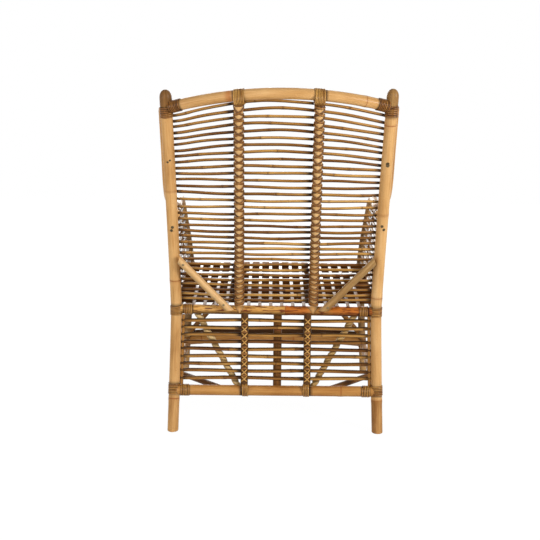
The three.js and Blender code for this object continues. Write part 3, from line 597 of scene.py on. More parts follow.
class Finish(Enum):
    """The finishes that the chair's pieces take."""

    POLE = CaneFinish("rattan_pole_pale", "#8a5a2a", "#bd8d54", "#d2a56c", "#e2bd88", coat=0.06)
    RAIL = CaneFinish("rattan_rail_honey", "#7a4517", "#a9743a", "#c08d4e", "#d2a569",
                      flecks=0.8, coat=0.06)
    GOLD = CaneFinish("rattan_rail_golden", "#7d4211", "#b1782f", "#cb944b", "#dcae68",
                      fleck="#5c1d06", flecks=1.0, fleck_from=0.56, fleck_run=0.024,
                      dashes=0.9, coat=0.06)
    SLAT = CaneFinish("rattan_slat_honey", "#5c3210", "#9a6a30", "#c8964f", "#dcb272",
                      joint="#45200a", flecks=0.75)
    # A darker copy of the cane finish: painted shade for the pieces that stand in the chair's
    # shadow.
    SHADE = CaneFinish("rattan_cane_shaded", "#482a0a", "#754a1b", "#94682d", "#b38a4c", flecks=0.6)
    EAR = CaneFinish("rattan_ear_brown", "#4c3116", "#80592f", "#a07a48", "#bb9560", flecks=0.9)
    # A darker copy for the seat's cross slats: painted shade under the strips.
    SEAT = CaneFinish("rattan_seat_shaded", "#391b07", "#693f19", "#92612d", "#b08046",
                      flecks=0.6, gloss=0.0)
    PEEL = PeelFinish("peel_strand_brown", "#2a1606", "#925d25", "#d09c51")
    TWIST = PeelFinish("peel_twist_pale", "#3a220b", "#b08a50", "#dfbf86")
    # Near white, in part a painted reflection of the white surround; painted shade darkens and
    # dulls it towards the back.
    STRIP = PeelFinish("peel_strip_pale", "#855a32", "#e4d6c4", "#f6eee4",
                       roughness=0.30, coat=0.0, gloss=0.5, bend=1.45, dull=0.5)
    PLUG = CaneFinish("nail_plug_grey", "#33291a", "#4f432e", "#6d5e45", "#96835f", flecks=0.2)

    def material(self) -> bpy.types.Material:
        """Returns the finish's material, made on first use."""
        return bpy.data.materials.get(self.value.name) or self.value.make()


def dress(piece: bpy.types.Object, finish: Finish, slot: Slot, *nodes: str) -> None:
    """Gives a piece its finish and its place in the frame.

    Args:
        piece: the finished piece.
        finish: what it is made of.
        slot: the record's slot; not used.
        nodes: CAD nodes that it stands for.
    """
    piece.data.materials.clear()
    piece.data.materials.append(finish.material())
    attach(piece, "root")
    if nodes:
        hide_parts(*nodes)
    faces = len(piece.data.polygons)
    log.info("%s: %d faces, stands for %s", piece.name, faces, nodes or "trim")


def pick(piece: bpy.types.Object) -> None:
    """Makes one object the only selected and the active one."""
    bpy.ops.object.select_all(action="DESELECT")
    piece.select_set(True)
    bpy.context.view_layer.objects.active = piece


def joined(name: str, pieces: Sequence[bpy.types.Object]) -> bpy.types.Object:
    """Joins finished canes into one object.

    Args:
        name: what the joined piece is called.
        pieces: the canes.

    Returns:
        The joined piece.
    """
    pick(pieces[0])
    for piece in pieces[1:]:
        piece.select_set(True)
    if len(pieces) > 1:
        bpy.ops.object.join()
    whole = bpy.context.view_layer.objects.active
    whole.name = name
    whole.data.name = name
    return whole


def smooth(piece: bpy.types.Object, degrees: float = 38.0) -> None:
    """Shades a piece smooth, apart from edges sharper than an angle."""
    pick(piece)
    bpy.ops.object.shade_smooth_by_angle(angle=math.radians(degrees))


def trim(piece: bpy.types.Object, place: Sequence[float], normal: Sequence[float],
         rounding: float = 0.0) -> None:
    """Cuts a piece off flat.

    Args:
        piece: a piece that runs on past the cut.
        place: a point of the cut, in metres.
        normal: the direction of the part that goes.
        rounding: radius of the cut's edge, in millimetres.
    """
    pick(piece)
    bpy.ops.object.mode_set(mode="EDIT")
    bpy.ops.mesh.select_all(action="SELECT")
    bpy.ops.mesh.bisect(plane_co=place, plane_no=normal, use_fill=True, clear_outer=True)
    if rounding:
        bpy.ops.mesh.bevel(offset=rounding * METRE, segments=3, affect="EDGES")
    bpy.ops.object.mode_set(mode="OBJECT")
    smooth(piece)


@dataclass
class CaneCut:
    """How one cane is cut from the stock: its section, its ends and its marks."""

    radius: float
    grain: Grain = Grain.CANE
    flat: float = 1.0
    square: float = 1.0
    ends: tuple[float, float] = (2.0, 2.0)
    domes: tuple[float, float] = (2.0, 2.0)
    joints: Sequence[float] | None = None
    joint_gap: tuple[float, float] = (230.0, 380.0)
    swell: float = 0.05
    tone: float = 0.5
    tones: Sequence[float] | None = None
    patchy: float = 0.10
    # under and over paint shade on a cane's underside or top; the field after them paints shade
    # along it.
    under: float = 0.0
    over: float = 0.0
    painted_shade: Marks | float = 0.0
    stain: Marks | float = 0.0
    upright: bool = False
    seed: int = 1


class Bench:
    """Keeps the straight canes that pieces are copied from, and bends the copies."""

    def __init__(self) -> None:
        """Starts with no canes."""
        self.stock: dict[Grain, bpy.types.Object] = {}

    def straight(self, grain: Grain) -> bpy.types.Object:
        """Returns a straight cane of unit length and radius along X, made on first use.

        Args:
            grain: how finely it is divided.

        Returns:
            The cane that copies are taken from.
        """
        if grain in self.stock:
            return self.stock[grain]
        faces, rings = grain.value
        bpy.ops.object.select_all(action="DESELECT")
        bpy.ops.mesh.primitive_cylinder_add(
            vertices=faces, radius=1.0, depth=1.0, end_fill_type="NGON",
            location=(0.5, 0.0, 0.0), rotation=(0.0, math.pi / 2, 0.0))
        cane = bpy.context.object
        cane.name = "stock_" + grain.name.lower()
        bpy.ops.object.transform_apply(location=True, rotation=True, scale=True)
        bpy.ops.object.mode_set(mode="EDIT")
        bpy.ops.mesh.select_mode(type="EDGE")
        bpy.ops.mesh.select_all(action="DESELECT")
        bpy.ops.object.mode_set(mode="OBJECT")
        spots = [v.co.x for v in cane.data.vertices]
        for edge in cane.data.edges:
            first, last = edge.vertices
            edge.select = abs(spots[first] - spots[last]) > 0.5
        bpy.ops.object.mode_set(mode="EDIT")
        bpy.ops.mesh.subdivide(number_cuts=rings - 1)
        bpy.ops.object.mode_set(mode="OBJECT")
        self.stock[grain] = cane
        return cane

    @staticmethod
    def joint_runs(length: float, cut: CaneCut) -> list[float]:
        """Returns where a cane's joints lie along it, given or by its seed."""
        if cut.joints is not None:
            return list(cut.joints)
        chance = Random(cut.seed)
        runs, run = [], chance.uniform(20.0, cut.joint_gap[1])
        while run < length - 20.0:
            runs.append(run)
            run += chance.uniform(*cut.joint_gap)
        return runs

    def ring_plan(self, length: float, cut: CaneCut) -> tuple[np.ndarray, np.ndarray, np.ndarray]:
        """Plans the rings of a cane: finer at its joints and rounded at its ends.

        Args:
            length: the cane's length.
            cut: its section, ends and joints.

        Returns:
            For each ring its place along, its share of the radius, and how much of a joint it is.
        """
        rings = cut.grain.value[1] + 1
        joints = self.joint_runs(length, cut)
        rounds = np.linspace(0.0, 1.0, 12 if max(cut.ends) > 12.0 else 4) * math.pi / 2
        near = np.array([-7.0, -1.3, 0.0, 1.3, 7.0])
        while 2 * len(rounds) + len(near) * len(joints) > rings - 8:
            joints.pop()
        special = [cut.ends[0] * (1 - np.cos(rounds)), length - cut.ends[1] * (1 - np.cos(rounds))]
        special += [run + near for run in joints]
        plain = rings - sum(len(s) for s in special)
        edge = cut.ends[0] + 1.0, length - cut.ends[1] - 1.0
        runs = np.sort(np.r_[np.concatenate(special), np.linspace(*edge, plain + 2)[1:-1]])
        share = np.ones(rings)
        for gap, end, dome in zip((runs, length - runs), cut.ends, cut.domes):
            inside = np.clip(1.0 - gap / end, 0.0, 1.0)
            share -= dome / cut.radius * (1.0 - np.sqrt(np.clip(1.0 - inside ** 2, 0.0, 1.0)))
        mark = np.zeros(rings)
        for run in joints:
            away = np.abs(runs - run)
            line = np.exp(-(away / 1.2) ** 2)
            share += cut.swell * np.exp(-(away / 8.0) ** 2) - 0.5 * cut.swell * line
            mark = np.maximum(mark, line)
        return runs, share, mark

    def cane(self, name: str, way: Way, cut: CaneCut) -> bpy.types.Object:
        """Copies a straight cane, shapes it and bends it along a way.

        Args:
            name: what the piece is called.
            way: the centre line that it follows.
            cut: its section, ends and marks.

        Returns:
            The bent cane, in metres and in its place.
        """
        stock = self.straight(cut.grain)
        mesh = stock.data.copy()
        mesh.name = name
        piece = bpy.data.objects.new(name, mesh)
        bpy.context.collection.objects.link(piece)
        spots = read(mesh.vertices, "co", 3).astype(float)
        ring = np.rint(spots[:, 0] * cut.grain.value[1]).astype(int)
        turn = np.arctan2(spots[:, 2], spots[:, 1])
        runs, share, joint = self.ring_plan(way.length, cut)
        across = np.sign(np.cos(turn)) * np.abs(np.cos(turn)) ** cut.square
        over = np.sign(np.sin(turn)) * np.abs(np.sin(turn)) ** cut.square
        reach = share[ring] * cut.radius
        shaped = np.stack([runs[ring], across * reach, over * reach * cut.flat], axis=1) * METRE
        mesh.vertices.foreach_set("co", shaped.astype(np.float32).ravel())
        self.mark(mesh, runs[ring], joint[ring], way, cut)
        self.unwrap(mesh, runs[ring], cut)
        self.bend(piece, way, cut.upright)
        if cut.under or cut.over:
            self.darken(mesh, cut)
        smooth(piece)
        return piece

    @staticmethod
    def darken(mesh: bpy.types.Mesh, cut: CaneCut) -> None:
        """Adds painted shade on a cane's underside or top to its marks."""
        up = read(mesh.vertices, "normal", 3)[:, 2]
        layer = mesh.attributes["marks"].data
        values = read(layer, "color", 4)
        side = cut.under * np.clip(1.7 * (0.12 - up), 0.0, 1.0)
        side += cut.over * np.clip(1.8 * (up - 0.1), 0.0, 1.0)
        values[:, 2] = 1.0 - (1.0 - values[:, 2]) * (1.0 - np.clip(side, 0.0, 0.95))
        layer.foreach_set("color", values.ravel())

    def lay(self, name: str, way: Way, cut: CaneCut, finish: Finish, slot: Slot,
            *nodes: str) -> None:
        """Makes one cane and dresses it as a piece of its own.

        Args:
            name: what the piece is called.
            way: the centre line that it follows.
            cut: its section, ends and marks.
            finish: what it is made of.
            slot: the record's slot; not used.
            nodes: CAD nodes that it stands for.
        """
        dress(self.cane(name, way, cut), finish, slot, *nodes)

    @staticmethod
    def mark(mesh: bpy.types.Mesh, runs: np.ndarray, joint: np.ndarray, way: Way,
             cut: CaneCut) -> None:
        """Writes joints, tone, painted shade and stain to a mesh's own attribute."""
        middle = columns(runs, way.run, way.spots)
        values = np.zeros((len(runs), 4), np.float32)
        values[:, 0] = joint
        chance = np.random.default_rng(cut.seed + 900)
        part = np.searchsorted(np.sort(Bench.joint_runs(way.length, cut)), runs)
        shades = chance.uniform(-cut.patchy, cut.patchy, 12)
        values[:, 1] = cut.tone + shades[part % len(shades)]
        if cut.tones:
            values[:, 1] = np.asarray(cut.tones)[np.minimum(part, len(cut.tones) - 1)]
        for column, law in ((2, cut.painted_shade), (3, cut.stain)):
            values[:, column] = law(middle) if callable(law) else law
        layer = mesh.attributes.new("marks", "FLOAT_COLOR", "POINT")
        layer.data.foreach_set("color", values.ravel())

    @staticmethod
    def unwrap(mesh: bpy.types.Mesh, runs: np.ndarray, cut: CaneCut) -> None:
        """Lays the cane's map out in metres, round it and along it, on a stretch of its own."""
        corner = read(mesh.loops, "vertex_index", kind=np.int32)[:, 0]
        layer = mesh.uv_layers[0].data
        laid = read(layer, "uv", 2)
        laid[:, 0] = laid[:, 0] * 2 * math.pi * cut.radius * METRE
        laid[:, 1] = runs[corner] * METRE + cut.seed * MAP_STEP
        layer.foreach_set("uv", laid.ravel())

    @staticmethod
    def bend(piece: bpy.types.Object, way: Way, upright: bool) -> None:
        """Bends a straight piece along a guide line and applies the bend.

        Args:
            piece: a piece along X.
            way: the line to follow.
            upright: keeps the piece's own up side up.
        """
        line = in_frame(way.spots)
        curve = bpy.data.curves.new("guide", "CURVE")
        curve.dimensions = "3D"
        curve.twist_mode = "Z_UP" if upright else "MINIMUM"
        spline = curve.splines.new("POLY")
        spline.points.add(len(line) - 1)
        weighted = np.c_[line, np.ones(len(line))].astype(np.float32)
        spline.points.foreach_set("co", weighted.ravel())
        guide = bpy.data.objects.new("guide", curve)
        bpy.context.collection.objects.link(guide)
        bender = piece.modifiers.new("bend", "CURVE")
        bender.object = guide
        bender.deform_axis = "POS_X"
        pick(piece)
        bpy.ops.object.modifier_apply(modifier="bend")
        bpy.data.objects.remove(guide)
        bpy.data.curves.remove(curve)

    def clear(self) -> None:
        """Removes the straight canes when the chair is done."""
        for cane in self.stock.values():
            mesh = cane.data
            bpy.data.objects.remove(cane)
            bpy.data.meshes.remove(mesh)
        self.stock.clear()


@dataclass
class PeelWork:
    """Flat peel strands laid over poles, gathered into one piece.

    A strand has to lie flat on its pole all the way round, so its mesh is written from its places.
    """

    name: str
    spots: list[np.ndarray] = field(default_factory=list)
    faces: list[np.ndarray] = field(default_factory=list)
    maps: list[np.ndarray] = field(default_factory=list)
    tones: list[np.ndarray] = field(default_factory=list)
    edges: list[np.ndarray] = field(default_factory=list)
    count: int = 0
    corners: int = 8

    def strand(self, places: np.ndarray, out: np.ndarray, width: np.ndarray | float,
               thick: float, tone: np.ndarray | float = 0.5, edge: float = 0.8) -> None:
        """Adds one strand.

        Args:
            places: the strand's middle line.
            out: the direction away from the pole at each place.
            width: its width on the pole, all along it or at each place.
            thick: its thickness.
            tone: how pale it is, from 0 to 1, all along it or at each place.
            edge: how dark the painted shade along its edges is.
        """
        width = np.broadcast_to(np.asarray(width, float), (len(places),))
        tone = np.broadcast_to(np.asarray(tone, float), (len(places),))
        along = np.gradient(places, axis=0)
        along /= np.maximum(np.linalg.norm(along, axis=1, keepdims=True), 1e-9)
        lift = out - along * np.sum(out * along, axis=1, keepdims=True)
        lift /= np.maximum(np.linalg.norm(lift, axis=1, keepdims=True), 1e-9)
        side = np.cross(along, lift)
        n, m = len(places), self.corners
        turn = np.arange(m) * 2 * math.pi / m
        wide = np.sign(np.cos(turn)) * np.abs(np.cos(turn)) ** 0.8 * width[:, None] / 2
        high = np.sin(turn) * thick / 2
        rings = places[:, None] + side[:, None] * wide[:, :, None]
        rings = rings + lift[:, None] * high[None, :, None]
        run = np.r_[0.0, np.cumsum(np.linalg.norm(np.diff(places, axis=0), axis=1))]
        tips = np.array([places[0], places[-1]])
        here = np.arange(n * m).reshape(n, m)
        beside = np.roll(here, -1, 1)
        quads = np.stack([here[:-1], beside[:-1], beside[1:], here[1:]], -1)
        first, last = n * m, n * m + 1
        caps = [[first, beside[0, j], here[0, j], first] for j in range(m)]
        caps += [[last, here[-1, j], beside[-1, j], last] for j in range(m)]
        flat = np.vstack([rings.reshape(-1, 3), tips])
        across = np.tile(np.arange(m) / m * 2 * (width.max() + thick), n)
        lay = np.c_[across, np.repeat(run, m)]
        lay = np.vstack([lay, [[0, 0], [0, run[-1]]]])
        self.spots.append(flat)
        self.faces.append(np.vstack([quads.reshape(-1, 4), np.array(caps)]) + self.count)
        self.maps.append(lay + np.array([0.0, self.count * 1.7]))
        self.tones.append(np.r_[np.repeat(tone, m), tone[0], tone[-1]])
        # Painted shade, darkest along the strand's two sides.
        self.edges.append(np.r_[np.tile(edge * np.abs(np.cos(turn)) ** 2, n), edge, edge])
        self.count += len(flat)

    def coil(self, way: Way, start: float, end: float, reach: float, pitch: float = 4.7,
             width: float = 4.3, thick: float = 2.3, tone: float = 0.5, seed: int = 1,
             sag: tuple[float, float] = (0.0, 0.0)) -> None:
        """Winds a close coil on a pole between two places along it.

        Args:
            way: the pole's centre line.
            start: where the coil starts along it.
            end: where it ends.
            reach: the pole's radius.
            pitch: how far the coil moves on in one turn.
            width: the strand's width.
            thick: its thickness.
            tone: how pale it is.
            seed: shifts the slack between turns.
            sag: the angle at which the coil stands off the pole, and how far.
        """
        turns = max(2, round((end - start) / pitch))
        t = np.linspace(0.0, turns, turns * 18 + 1)
        chance = np.random.default_rng(seed)
        slack = np.interp(t, np.arange(turns + 1), chance.uniform(-0.25, 0.35, turns + 1))
        run = start + (end - start) * t / turns + slack * 0.6
        turn = t * 2 * math.pi + chance.uniform(0, 6)
        lift = reach + thick / 2 + np.abs(slack) * 0.5
        lift = lift + sag[1] * np.clip(np.cos(turn - sag[0]), 0.0, 1.0) ** 4
        places, out = way.around(run, turn, lift)
        shades = np.interp(t, np.arange(turns + 1), chance.uniform(-0.16, 0.16, turns + 1))
        self.strand(places, out, width, thick, tone + shades, edge=0.95)

    def build(self) -> bpy.types.Object:
        """Returns the gathered strands as one piece, in metres and in its place."""
        flat = in_frame(np.vstack(self.spots))
        faces = [tuple(dict.fromkeys(face)) for face in np.vstack(self.faces).tolist()]
        mesh = bpy.data.meshes.new(self.name)
        mesh.from_pydata(flat.tolist(), [], faces)
        corner = read(mesh.loops, "vertex_index", kind=np.int32)[:, 0]
        layer = mesh.uv_layers.new(name="UVMap")
        laid = (np.vstack(self.maps) * METRE)[corner]
        layer.data.foreach_set("uv", laid.astype(np.float32).ravel())
        values = np.zeros((len(flat), 4), np.float32)
        values[:, 1] = np.concatenate(self.tones)
        values[:, 2] = np.concatenate(self.edges)
        marks = mesh.attributes.new("marks", "FLOAT_COLOR", "POINT")
        marks.data.foreach_set("color", values.ravel())
        piece = bpy.data.objects.new(self.name, mesh)
        bpy.context.collection.objects.link(piece)
        smooth(piece, 60.0)
        return piece

    def lay(self, *nodes: str, finish: Finish = Finish.PEEL, slot: Slot = Slot.PEEL) -> None:
        """Dresses the gathered strands as one piece.

        Args:
            nodes: CAD nodes that it stands for.
            finish: what it is made of.
            slot: the record's slot; not used.
        """
        dress(self.build(), finish, slot, *nodes)


def shadow_at(places: Sequence[float], reach: float, strength: float, axis: int = 0) -> Marks:
    """Returns a law of painted shadow, darkest near some places along one axis.

    Args:
        places: coordinates of the joints where the painted shadow is darkest.
        reach: how far it spreads.
        strength: how dark it is there.
        axis: the axis that the coordinates lie on.

    Returns:
        A law from points to painted shade.
    """
    def law(spots: np.ndarray) -> np.ndarray:
        """Returns the painted shade at each point."""
        away = np.min([np.abs(spots[:, axis] - place) for place in places], axis=0)
        return strength * np.exp(-(away / reach) ** 2)
    return law


def wrapped(spans: Sequence[tuple[float, float]], axis: int = 0) -> Marks:
    """Returns a law of painted shade under bindings and just beside them.

    Args:
        spans: from where to where each binding runs, on both sides alike.
        axis: the axis that the spans lie on.

    Returns:
        A law from points to painted shade.
    """
    def law(spots: np.ndarray) -> np.ndarray:
        """Returns the painted shade at each point."""
        value = np.abs(spots[:, axis])
        past = [np.maximum(low - value, value - high) for low, high in spans]
        away = np.maximum(np.min(past, axis=0), 0.0)
        return 0.95 * np.exp(-(away / 2.0) ** 2)
    return law


@dataclass
class RearFrame:
    """The rear posts with their ears, the crest, the seat rail, the stretcher and the bindings."""

    bench: Bench
    post_radius: float = 16.6
    ear_radius: float = 16.8
    ear_foot: float = 961.0
    ear_top: float = 1009.0
    crest_radius: float = 15.0
    rail_radius: float = 14.3
    low_radius: float = 15.9
    liner_radius: float = 4.8
    rail_bind: tuple[float, float] = (249.0, 278.0)
    low_bind: tuple[float, float] = (262.0, 286.0)
    crest_bind: tuple[float, float] = (264.0, 293.0)
    ear_bind: tuple[float, float] = (938.0, 964.0)
    rail_lash: tuple[float, float] = (351.0, 381.0)
    low_lash: tuple[float, float] = (109.0, 139.0)
    crest_strap: tuple[float, float] = (95.0, 120.0)
    low_strap: tuple[float, float] = (88.0, 106.0)
    liner_inset: float = 21.6
    liner_span: tuple[float, float] = (138.0, 350.0)
    stain_from: float = -27.0
    stain_runs: tuple[float, ...] = (-1.0, 0.0, 60.0, 85.0, 125.0, 145.0, 230.0)
    stain_marks: tuple[float, ...] = (0.0, 1.1, 0.9, 0.35, 0.35, 1.0, 0.9)

    def post(self, side: str) -> Way:
        """Returns the centre line of a post, from the floor to its ear."""
        s = SIDES[side]
        return Way.of_law(lambda z: (s * PLAN.post_x(z), PLAN.post_y(z), z),
                          -PLAN.foot_extra, self.ear_top, count=220)

    def crest(self) -> Way:
        """Returns the crest's centre line, arched and bowed, from left to right."""
        half, end, share_at_ribs = 306.6, 0.962, 0.8666
        end_y = PLAN.post_y(PLAN.crest_end_z)
        bulge = (PLAN.rib_y(PLAN.rib_top) - end_y) / share_at_ribs
        return Way.of_law(lambda u: (half * u, end_y + bulge * (1 - u * u),
                                     PLAN.crest_end_z + PLAN.crest_rise * (1 - u * u)), end, -end)

    def rail(self) -> Way:
        """Returns the rear seat rail's centre line, a little lower at its right end."""
        return Way([(PLAN.post_seat_x, 0.0, PLAN.seat_z + 2.6),
                    (-PLAN.post_seat_x, 0.0, PLAN.seat_z - 1.7)])

    def stretcher(self) -> Way:
        """Returns the rear stretcher's centre line."""
        x, y = PLAN.post_x(PLAN.low_z), PLAN.post_y(PLAN.low_z)
        return Way([(x, y, PLAN.low_z - 2.0), (-x, y, PLAN.low_z - 2.0)])

    def build(self) -> None:
        """Builds and dresses the rear frame."""
        joints = {"left": (98.0, 460.0, 730.0), "right": (98.0, 410.0, 665.0, 916.0)}
        tones = {"left": (0.40, 0.51, 0.60, 0.46), "right": (0.10, 0.62, 0.74, 0.62, 0.58)}
        for side in SIDES:
            self.build_post(side, joints[side], tones[side])
        self.bench.lay("crest_pole", self.crest(), CaneCut(
            self.crest_radius, Grain.POLE, tone=0.51, seed=5, joints=(545.0,),
            painted_shade=wrapped((self.crest_bind, self.crest_strap)),
            stain=lambda p: 0.8 * np.exp(-((p[:, 0] - 130.0) / 7.0) ** 2)),
            Finish.POLE, Slot.PALE, "crest_rail")
        # The seat rail's underside is painted in shade.
        self.bench.lay("seat_rail_rear", self.rail(), CaneCut(
            self.rail_radius, Grain.POLE, tone=0.9, seed=7,
            joints=(PLAN.post_seat_x - self.stain_from,), swell=0.07, under=0.75,
            painted_shade=wrapped((self.rail_bind,)), stain=lambda p: np.interp(
                self.stain_from - p[:, 0], self.stain_runs, self.stain_marks)),
            Finish.GOLD, Slot.PALE, "rear_seat_rail")
        self.bench.lay("stretcher_rear", self.stretcher(), CaneCut(
            self.low_radius, Grain.POLE, tone=0.48, seed=9, joints=(210.0, 505.0),
            painted_shade=wrapped((self.low_bind, self.low_strap))),
            Finish.RAIL, Slot.PALE, "rear_stretcher")
        for side in SIDES:
            self.bind(side)

    def build_post(self, side: str, joints: Sequence[float], tones: Sequence[float]) -> None:
        """Builds one post, its ear and its liner cane.

        Args:
            side: left or right.
            joints: the heights of the post's joints.
            tones: how pale the post is between them.
        """
        s = SIDES[side]
        way = self.post(side)
        body = Way(way.spots[way.spots[:, 2] <= self.ear_foot + 3.0])
        post = self.bench.cane("post_" + side, body, CaneCut(
            self.post_radius, Grain.POLE, tones=tones, seed=11 if s > 0 else 12,
            joints=[body.run_at(2, z) for z in joints],
            painted_shade=wrapped((self.ear_bind, self.rail_lash, self.low_lash), 2)))
        trim(post, FLOOR, DOWN, PLAN.foot_rounding)
        dress(post, Finish.POLE, Slot.PALE, "rear_post_" + side)
        ear = Way(way.spots[way.spots[:, 2] >= self.ear_foot], step=2.0)
        self.bench.lay("ear_" + side, ear, CaneCut(
            self.ear_radius, Grain.POLE, ends=(0.4, 22.0), domes=(0.1, 15.6), joints=(),
            tone=0.26 if s > 0 else 0.70, seed=13), Finish.EAR, Slot.PALE)
        liner = Way.of_law(lambda z: (s * (PLAN.post_x(z) - self.liner_inset), PLAN.post_y(z), z),
                           *self.liner_span)
        self.bench.lay("liner_" + side, liner, CaneCut(
            self.liner_radius, Grain.SLAT, tone=0.3, seed=15),
            Finish.SLAT, Slot.HONEY, "liner_cane_" + side)

    def bind(self, side: str) -> None:
        """Winds the bindings of one side."""
        s = SIDES[side]
        post = (self.post(side), 2, 1.0, self.post_radius)
        crest = (self.crest(), 0, s, self.crest_radius)
        rail = (self.rail(), 0, s, self.rail_radius)
        low = (self.stretcher(), 0, s, self.low_radius)
        sets = (("ear_wrap_", post, self.ear_bind, 0.44, "ear_binding_"),
                ("crest_wrap_", crest, self.crest_bind, 0.40, "crest_binding_"),
                ("rail_wrap_", rail, self.rail_bind, 0.64, "seat_rail_binding_"),
                ("low_wrap_", low, self.low_bind, 0.62, "stretcher_binding_"),
                ("post_rail_wrap_", post, self.rail_lash, 0.62, "seat_rail_lashing_"),
                ("post_low_wrap_", post, self.low_lash, 0.64, "stretcher_lashing_"))
        for index, (name, (way, axis, sign, radius), span, tone, node) in enumerate(sets):
            start, end = sorted(way.run_at(axis, sign * value) for value in span)
            work = PeelWork(name + side)
            work.coil(way, start, end, radius, tone=tone, seed=31 + index + (s > 0) * 10)
            work.lay(node + side)


@dataclass
class BackPanel:
    """The bowed back: 33 slats lashed to two ribs, straps over the crest, and two braces."""

    bench: Bench
    crest: Way
    crest_radius: float
    slat_radius: float = 4.35
    rib_radius: float = 12.3
    collar_radius: float = 14.2
    brace_radius: float = 11.0
    rib_foot: float = 383.0
    lash_top: float = 966.0
    lash_width: float = 5.8
    lash_thick: float = 2.6
    full_below: float = 560.0
    full_over: float = 120.0
    strap_turns: int = 7
    strap_pitch: float = 4.0
    strap_inset: float = 4.0
    tongue_reach: float = 14.4
    brace_extra: float = 16.0
    # Painted shadows on the slats: beside each rib on its left, and inside each post.
    shadow_beside: float = 17.0
    shadow_posts: tuple[float, float] = (288.0, -285.0)
    drift_rows: tuple[float, ...] = (0.0, 4.0, 7.0, 10.0, 13.0, 16.0, 20.0, 24.0, 32.0)
    drift_left: tuple[float, ...] = (2.8, 7.3, 7.8, 5.6, 4.2, -3.6, -3.4, -3.1, 0.0)
    drift_middle: tuple[float, ...] = (2.0, 6.2, 8.1, 5.6, 1.7, -1.1, -2.5, 0.8, 0.0)
    drift_right: tuple[float, ...] = (-1.7, 0.0, 0.8, -0.8, -2.8, -6.4, -7.0, -3.9, 0.0)

    def height(self, row: int, x: float) -> float:
        """Returns a slat's height at a place across, with the drift of hand-laid rows."""
        left, middle, right = (float(np.interp(row, self.drift_rows, drift)) for drift in
                               (self.drift_left, self.drift_middle, self.drift_right))
        share = x / 220.0
        bend = (left + right) / 2 - middle
        wave = 1.0 * math.sin(x / 61.0 + 2.1 * row) + 0.7 * math.sin(x / 31.0 + 1.3 * row * row)
        tilt = (left - right) / 2 * share
        return PLAN.slat_z(row, x) + middle + tilt + bend * share * share + wave

    def rib(self, side: str) -> Way:
        """Returns a rib's centre line, from the seat rail up to the crest."""
        s = SIDES[side]
        return Way.of_law(lambda z: (s * PLAN.rib_across(z), PLAN.rib_y(z), z),
                          self.rib_foot, PLAN.rib_top, count=200)

    def slat(self, row: int) -> Way:
        """Returns a slat's centre line between the posts."""
        def law(x: float) -> tuple[float, float, float]:
            """Returns the slat's point at a place across."""
            z = self.height(row, x)
            return (x, PLAN.back_y(x, z), z)
        half = PLAN.post_x(PLAN.slat_z(row, 300.0))
        return Way.of_law(law, half, -half, count=120)

    def build(self) -> None:
        """Builds and dresses the back."""
        chance = Random(21)
        # Painted shadows of the ribs and the posts on the slats. Lower rows are painted darker and
        # get more painted shade underneath.
        beside = (PLAN.rib_x + self.shadow_beside, -PLAN.rib_x + self.shadow_beside)
        shade_paint = shadow_at(beside + self.shadow_posts, 11.5, 1.1)
        slats = []
        for row in range(PLAN.slat_rows):
            low = row / (PLAN.slat_rows - 1)
            slats.append(self.bench.cane("slat_%02d" % row, self.slat(row), CaneCut(
                self.slat_radius * chance.uniform(0.93, 1.04), Grain.SLAT,
                tone=chance.uniform(0.30, 0.88) - 0.22 * low, patchy=0.24,
                joint_gap=(110.0, 300.0), swell=0.12, under=0.70 + 0.2 * low, painted_shade=shade_paint,
                seed=100 + row)))
        dress(joined("back_slats", slats), Finish.SLAT, Slot.HONEY, "back_panel")
        for side in SIDES:
            self.build_rib(side)
            self.build_brace(side)

    def build_rib(self, side: str) -> None:
        """Builds one rib with its lashing and its strap over the crest."""
        s = SIDES[side]
        way = self.rib(side)
        self.bench.lay("rib_" + side, way, CaneCut(
            self.rib_radius, tone=0.9, ends=(6.0, 2.0), domes=(6.0, 2.0), joints=(), seed=41),
            Finish.POLE, Slot.HONEY)
        collar_foot = self.lash_top - 4.0
        collar = Way(way.spots[way.spots[:, 2] > collar_foot])
        # The collar's foot is painted in shade.
        self.bench.lay("rib_collar_" + side, collar, CaneCut(
            self.collar_radius, tone=0.16, ends=(7.0, 5.0), domes=(4.0, 4.0), joints=(),
            seed=45, painted_shade=shadow_at((collar_foot,), 7.0, 0.9, axis=2)),
            Finish.RAIL, Slot.HONEY)
        self.build_tongue(side)
        work = PeelWork("rib_plait_" + side)
        rows = [way.run_at(2, self.height(row, s * PLAN.rib_x))
                for row in reversed(range(PLAN.slat_rows))]
        middles = [rows[0] - 8.0] + [(a + b) / 2 for a, b in zip(rows, rows[1:])]
        top = way.run_at(2, self.lash_top)
        middles = [m for m in middles if m < top - 8.0] + [top]
        for hand, lift, tone in ((s, 2.3, 0.45), (-s, 0.3, 0.34)):
            self.plait(work, way, middles, hand, lift, tone)
        work.lay("rib_lashing_" + side)
        ties = PeelWork("slat_ties_" + side)
        for row in range(PLAN.slat_rows):
            self.tie(ties, row, s)
        ties.lay()
        strap = PeelWork("crest_strap_" + side)
        middle = self.crest.run_at(0, s * (PLAN.rib_across(PLAN.rib_top) - self.strap_inset))
        half = self.strap_turns * self.strap_pitch / 2
        strap.coil(self.crest, middle - half, middle + half, self.crest_radius,
                   pitch=self.strap_pitch, width=3.7, thick=2.8, tone=0.85, seed=43,
                   sag=(0.97, 10.5))
        strap.lay("rib_strap_" + side)

